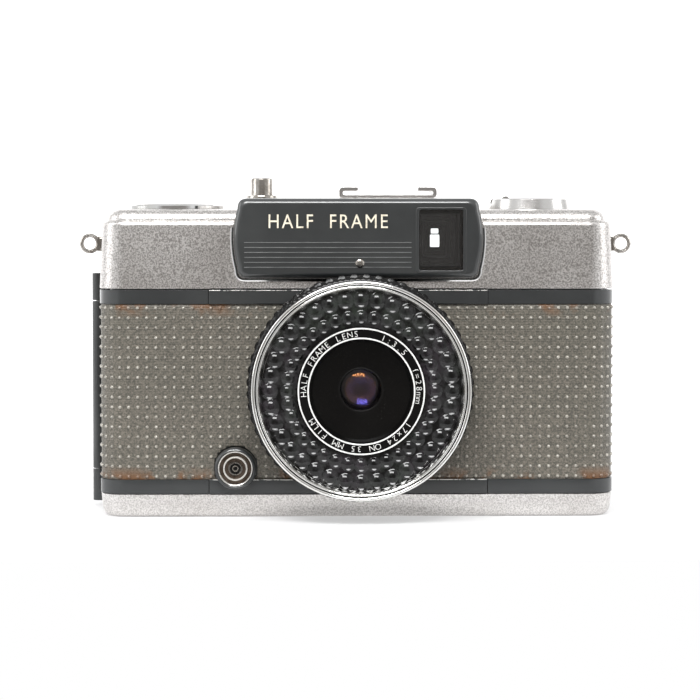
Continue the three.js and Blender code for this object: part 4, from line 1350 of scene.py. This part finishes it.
def make_control_rings():
    """Two dark rings behind the bezel: coarse teeth on the rear one, fine grooves on the front one."""
    rear = [(20.8, -17.2), (22.2, -17.2), (23.6, -17.6), (24.3, -17.9), (24.4, -18.1)]
    rear += [(24.4, -20.7), (24.25, -20.95), (23.5, -21.2), (23.2, -21.4), (20.8, -21.4)]
    front = [(20.8, -21.6), (23.2, -21.6), (23.8, -21.85), (23.9, -22.1)]
    front += [(23.9, -24.7), (23.75, -24.9), (23.2, -25.2), (20.8, -25.2)]
    teeth = knurl(56, 0.3, (3, 4, 5, 6), 1.4)
    grooves = knurl(120, 0.14, (2, 3, 4, 5), 0.5)
    turned("aperture_ring", rear, LENS_CENTRE, 672, wave=teeth, look=deep_black, angle=35)
    turned("film_speed_ring", front, LENS_CENTRE, 960, wave=grooves, look=deep_black, angle=35)


# ---- Small fittings ----
def make_sync():
    """A dark housing round nested silver rings, with a stained face and a pin in the middle."""
    centre = (SYNC[0], 0, SYNC[2])
    housing = [(3.82, -14.95), (4.55, -14.95), (4.55, -16.5), (4.46, -16.85)]
    housing += [(4.25, -17.1), (4.0, -17.2), (3.82, -17.1)]
    turned("sync_housing", housing, centre)
    shell = [(0.001, -14.95), (3.75, -14.95), (3.75, -17.0), (3.72, -17.25), (3.64, -17.35), (3.54, -17.3)]
    shell += [(3.48, -17.0), (3.42, -15.9), (2.68, -15.9), (2.62, -17.3), (2.52, -17.45), (2.38, -17.45)]
    shell += [(2.28, -17.3), (2.25, -16.4), (1.5, -16.4), (1.5, -15.9), (0.001, -15.9)]
    turned("sync_shell", shell, centre, look=nickel_rim, angle=40)
    for name, r0, r1, y in (("sync_channel", 2.69, 3.41, -16.2), ("sync_face", 1.52, 2.24, -16.6)):
        band = lathe(name, ring(r0, r1, y, y + 0.3), centre, "y", 96)
        add_on(band, "sync_shell", worn_brass, bevel=0.06)
    pin = [(0.001, -16.0), (1.45, -16.0), (1.45, -17.0), (1.38, -17.14), (1.24, -17.14), (1.16, -17.0)]
    pin += [(1.15, -16.25), (0.001, -16.25)]
    turned("sync_pin", pin, centre, 64, look=dull_chrome)
    add_on(lathe("sync_well", ring(0.001, 1.12, -16.5, -16.3), centre, "y", 64), "sync_pin", deep_black)
    tip = [(0.42, -16.5), (0.72, -16.5), (0.72, -16.85), (0.64, -16.95), (0.52, -16.95), (0.42, -16.85)]
    add_on(lathe("sync_contact", tip, centre, "y", 48), "sync_pin", dull_chrome)


def make_shoe():
    """Folded rails: one C-shaped section each side, joined by the floor."""
    (x0, y0, z0), (x1, y1, z1) = SHOE_LOW, SHOE_HIGH
    t, lip = 0.8, 4.1
    outer = rounded_rect(x0, x1, z0, z1, (0.9,) * 4, 6)
    body = stack("accessory_shoe_fine", [[(x, y, z) for x, z in outer] for y in (y0, y1)])
    inner = rounded_rect(x0 + t, x1 - t, z0 + t - 0.1, z1 - t, (0.4,) * 4, 6)
    hollow = stack("hollow", [[(x, y, z) for x, z in inner] for y in (y0 - 1, y1 + 1)])
    gap = block("gap", (x0 + lip, y0 - 1, z1 - 1), (x1 - lip, y1 + 1, z1 + 1))
    hole = lathe("hole", ring(0.001, 2.4, 60, 80), ((x0 + x1) / 2, 0, 0), "z", 32)
    cut(body, [hollow, gap, hole])
    stand_in(body, "accessory_shoe", angle=30, bevel=0.05)


def make_release():
    """The button, with a threaded well for a cable release, and the collar round it."""
    centre = (BUTTON[0], BUTTON[1], 0)
    top = extent("shutter_button")[1][2]
    profile = [(0.001, 61.8), (1.6, 61.8), (1.6, 66.0), (2.4, 66.0), (2.4, top - 0.45)]
    profile += [(2.32, top - 0.18), (2.12, top - 0.02), (1.75, top), (1.35, top - 0.12)]
    for i in range(6):
        z = top - 0.3 - 0.4 * i
        profile += [(1.22, z), (1.02, z - 0.2)]
    profile += [(1.0, top - 2.9), (0.001, top - 3.1)]
    turned("shutter_button", profile, centre, 64, "z")
    collar = [(2.6, 67.6), (2.95, 67.6), (2.95, 69.25), (3.35, 69.25), (3.35, 69.62)]
    collar += [(3.26, 69.82), (3.05, 69.92), (2.75, 69.92), (2.6, 69.8)]
    turned("button_collar", collar, centre, 72, "z")


def make_counter():
    """A low dome with a deep well under it, in which the dial turns."""
    low, high = extent("counter_cover")
    z, top, r = low[2], high[2], (high[0] - low[0]) / 2
    ceiling = extent("counter_dial")[1][2] + 0.35
    well, edge = 9.2, 0.85
    profile = [(0.001, ceiling), (well, ceiling), (well, z), (r - 0.05, z), (r, z + 0.06), (r, z + 0.7)]
    for i in range(14):
        a = math.pi * i / 28
        profile.append((r * 0.985 * math.cos(a), z + edge + (top - z - edge) * math.sin(a)))
    profile.append((0.001, top))
    cap = lathe("counter_cover_fine", profile, (COUNTER[0], COUNTER[1], 0), "z", 128)
    w_low, w_high = extent("counter_window")
    hole = block("hole", (w_low[0] - 0.2, w_low[1] - 0.2, 60), (w_high[0] + 0.2, w_high[1] + 0.2, 80), 0.5)
    outward(cap)
    cut(cap, [hole])
    stand_in(cap, "counter_cover", weighted=True, angle=30)


def make_counter_numbers():
    """Frame numbers on the dial, every fourth one up to 68."""
    x, y, _ = middle("counter_window")
    top = extent("counter_dial")[1][2]
    radius = math.hypot(x - COUNTER[0], y - COUNTER[1])
    start = math.atan2(y - COUNTER[1], x - COUNTER[0]) - math.pi / 2
    numbers = []
    for i in range(18):
        number = letters("number", str(4 * i), 1.5, 0.05)
        turn = Matrix.Rotation(start - 2 * math.pi * i / 18, 4, "Z")
        outwards = shift(0, radius - 0.5, top + 0.03)
        number.data.transform(shift(COUNTER[0], COUNTER[1], 0) @ turn @ outwards)
        numbers.append(number)
    add_on(merge("counter_numbers", numbers), "counter_dial", white_paint, angle=40)


def make_springs():
    """Both springs in their CAD shapes, each with a mesh of its own."""
    coil = refine("button_spring", 0)
    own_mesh(coil)
    leaf = refine("plate_spring", 0)
    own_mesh(leaf)


def make_thumbwheel():
    low, high = extent("thumbwheel")
    r = (high[0] - low[0]) / 2
    z0, z1 = low[2], high[2]
    profile = [(2.6, z0 + 0.2), (11.4, z0 + 0.2), (12.3, z0), (13.2, z0 + 0.2), (r, z0 + 0.6)]
    profile += [(r, z1 - 0.6), (13.2, z1 - 0.2), (12.3, z1), (11.4, z1 - 0.4), (2.6, z1 - 0.4)]
    teeth = knurl(64, 0.35, (3, 4, 5, 6), 1.2)
    turned("thumbwheel", profile, (COUNTER[0], COUNTER[1], 0), 768, "z", teeth, angle=35)


def make_floor():
    """A floor that sweeps up behind the camera, as a paper roll does."""
    width, front, depth = 3000, 80, 1500
    bend, height, steps = 700, 2400, 24
    line = [(-front, 0.0), (depth, 0.0)]
    for i in range(1, steps + 1):
        a = math.pi / 2 * i / steps
        line.append((depth + bend * math.sin(a), bend * (1 - math.cos(a))))
    line.append((depth + bend, height))
    vertices = [(x, y, z) for y, z in line for x in (-width, width)]
    faces = [(2 * i, 2 * i + 1, 2 * i + 3, 2 * i + 2) for i in range(len(line) - 1)]
    floor = new_object("floor", vertices, faces)
    floor.data.shade_smooth()
    floor.data.materials.append(pale_floor())


add_camera()
add_lights()
white_world()
make_floor()
make_top_cover()
make_plate_surround()
make_plate()
make_plate_lines()
make_plate_words()
make_index_stud()
make_panel_edges()
make_lugs()
make_bottom_cover()
make_leather()
make_door_corners()
make_bezel()
make_window()
make_cell()
make_name_ring()
make_barrel()
make_glass()
make_finder()
make_control_rings()
make_sync()
make_shoe()
make_release()
make_counter()
make_counter_numbers()
make_springs()
make_thumbwheel()
for node in sorted(frame["nodes"]):
    if not frame["nodes"][node].hide_render:
        refine(node)

scene.view_settings.view_transform = "Standard"
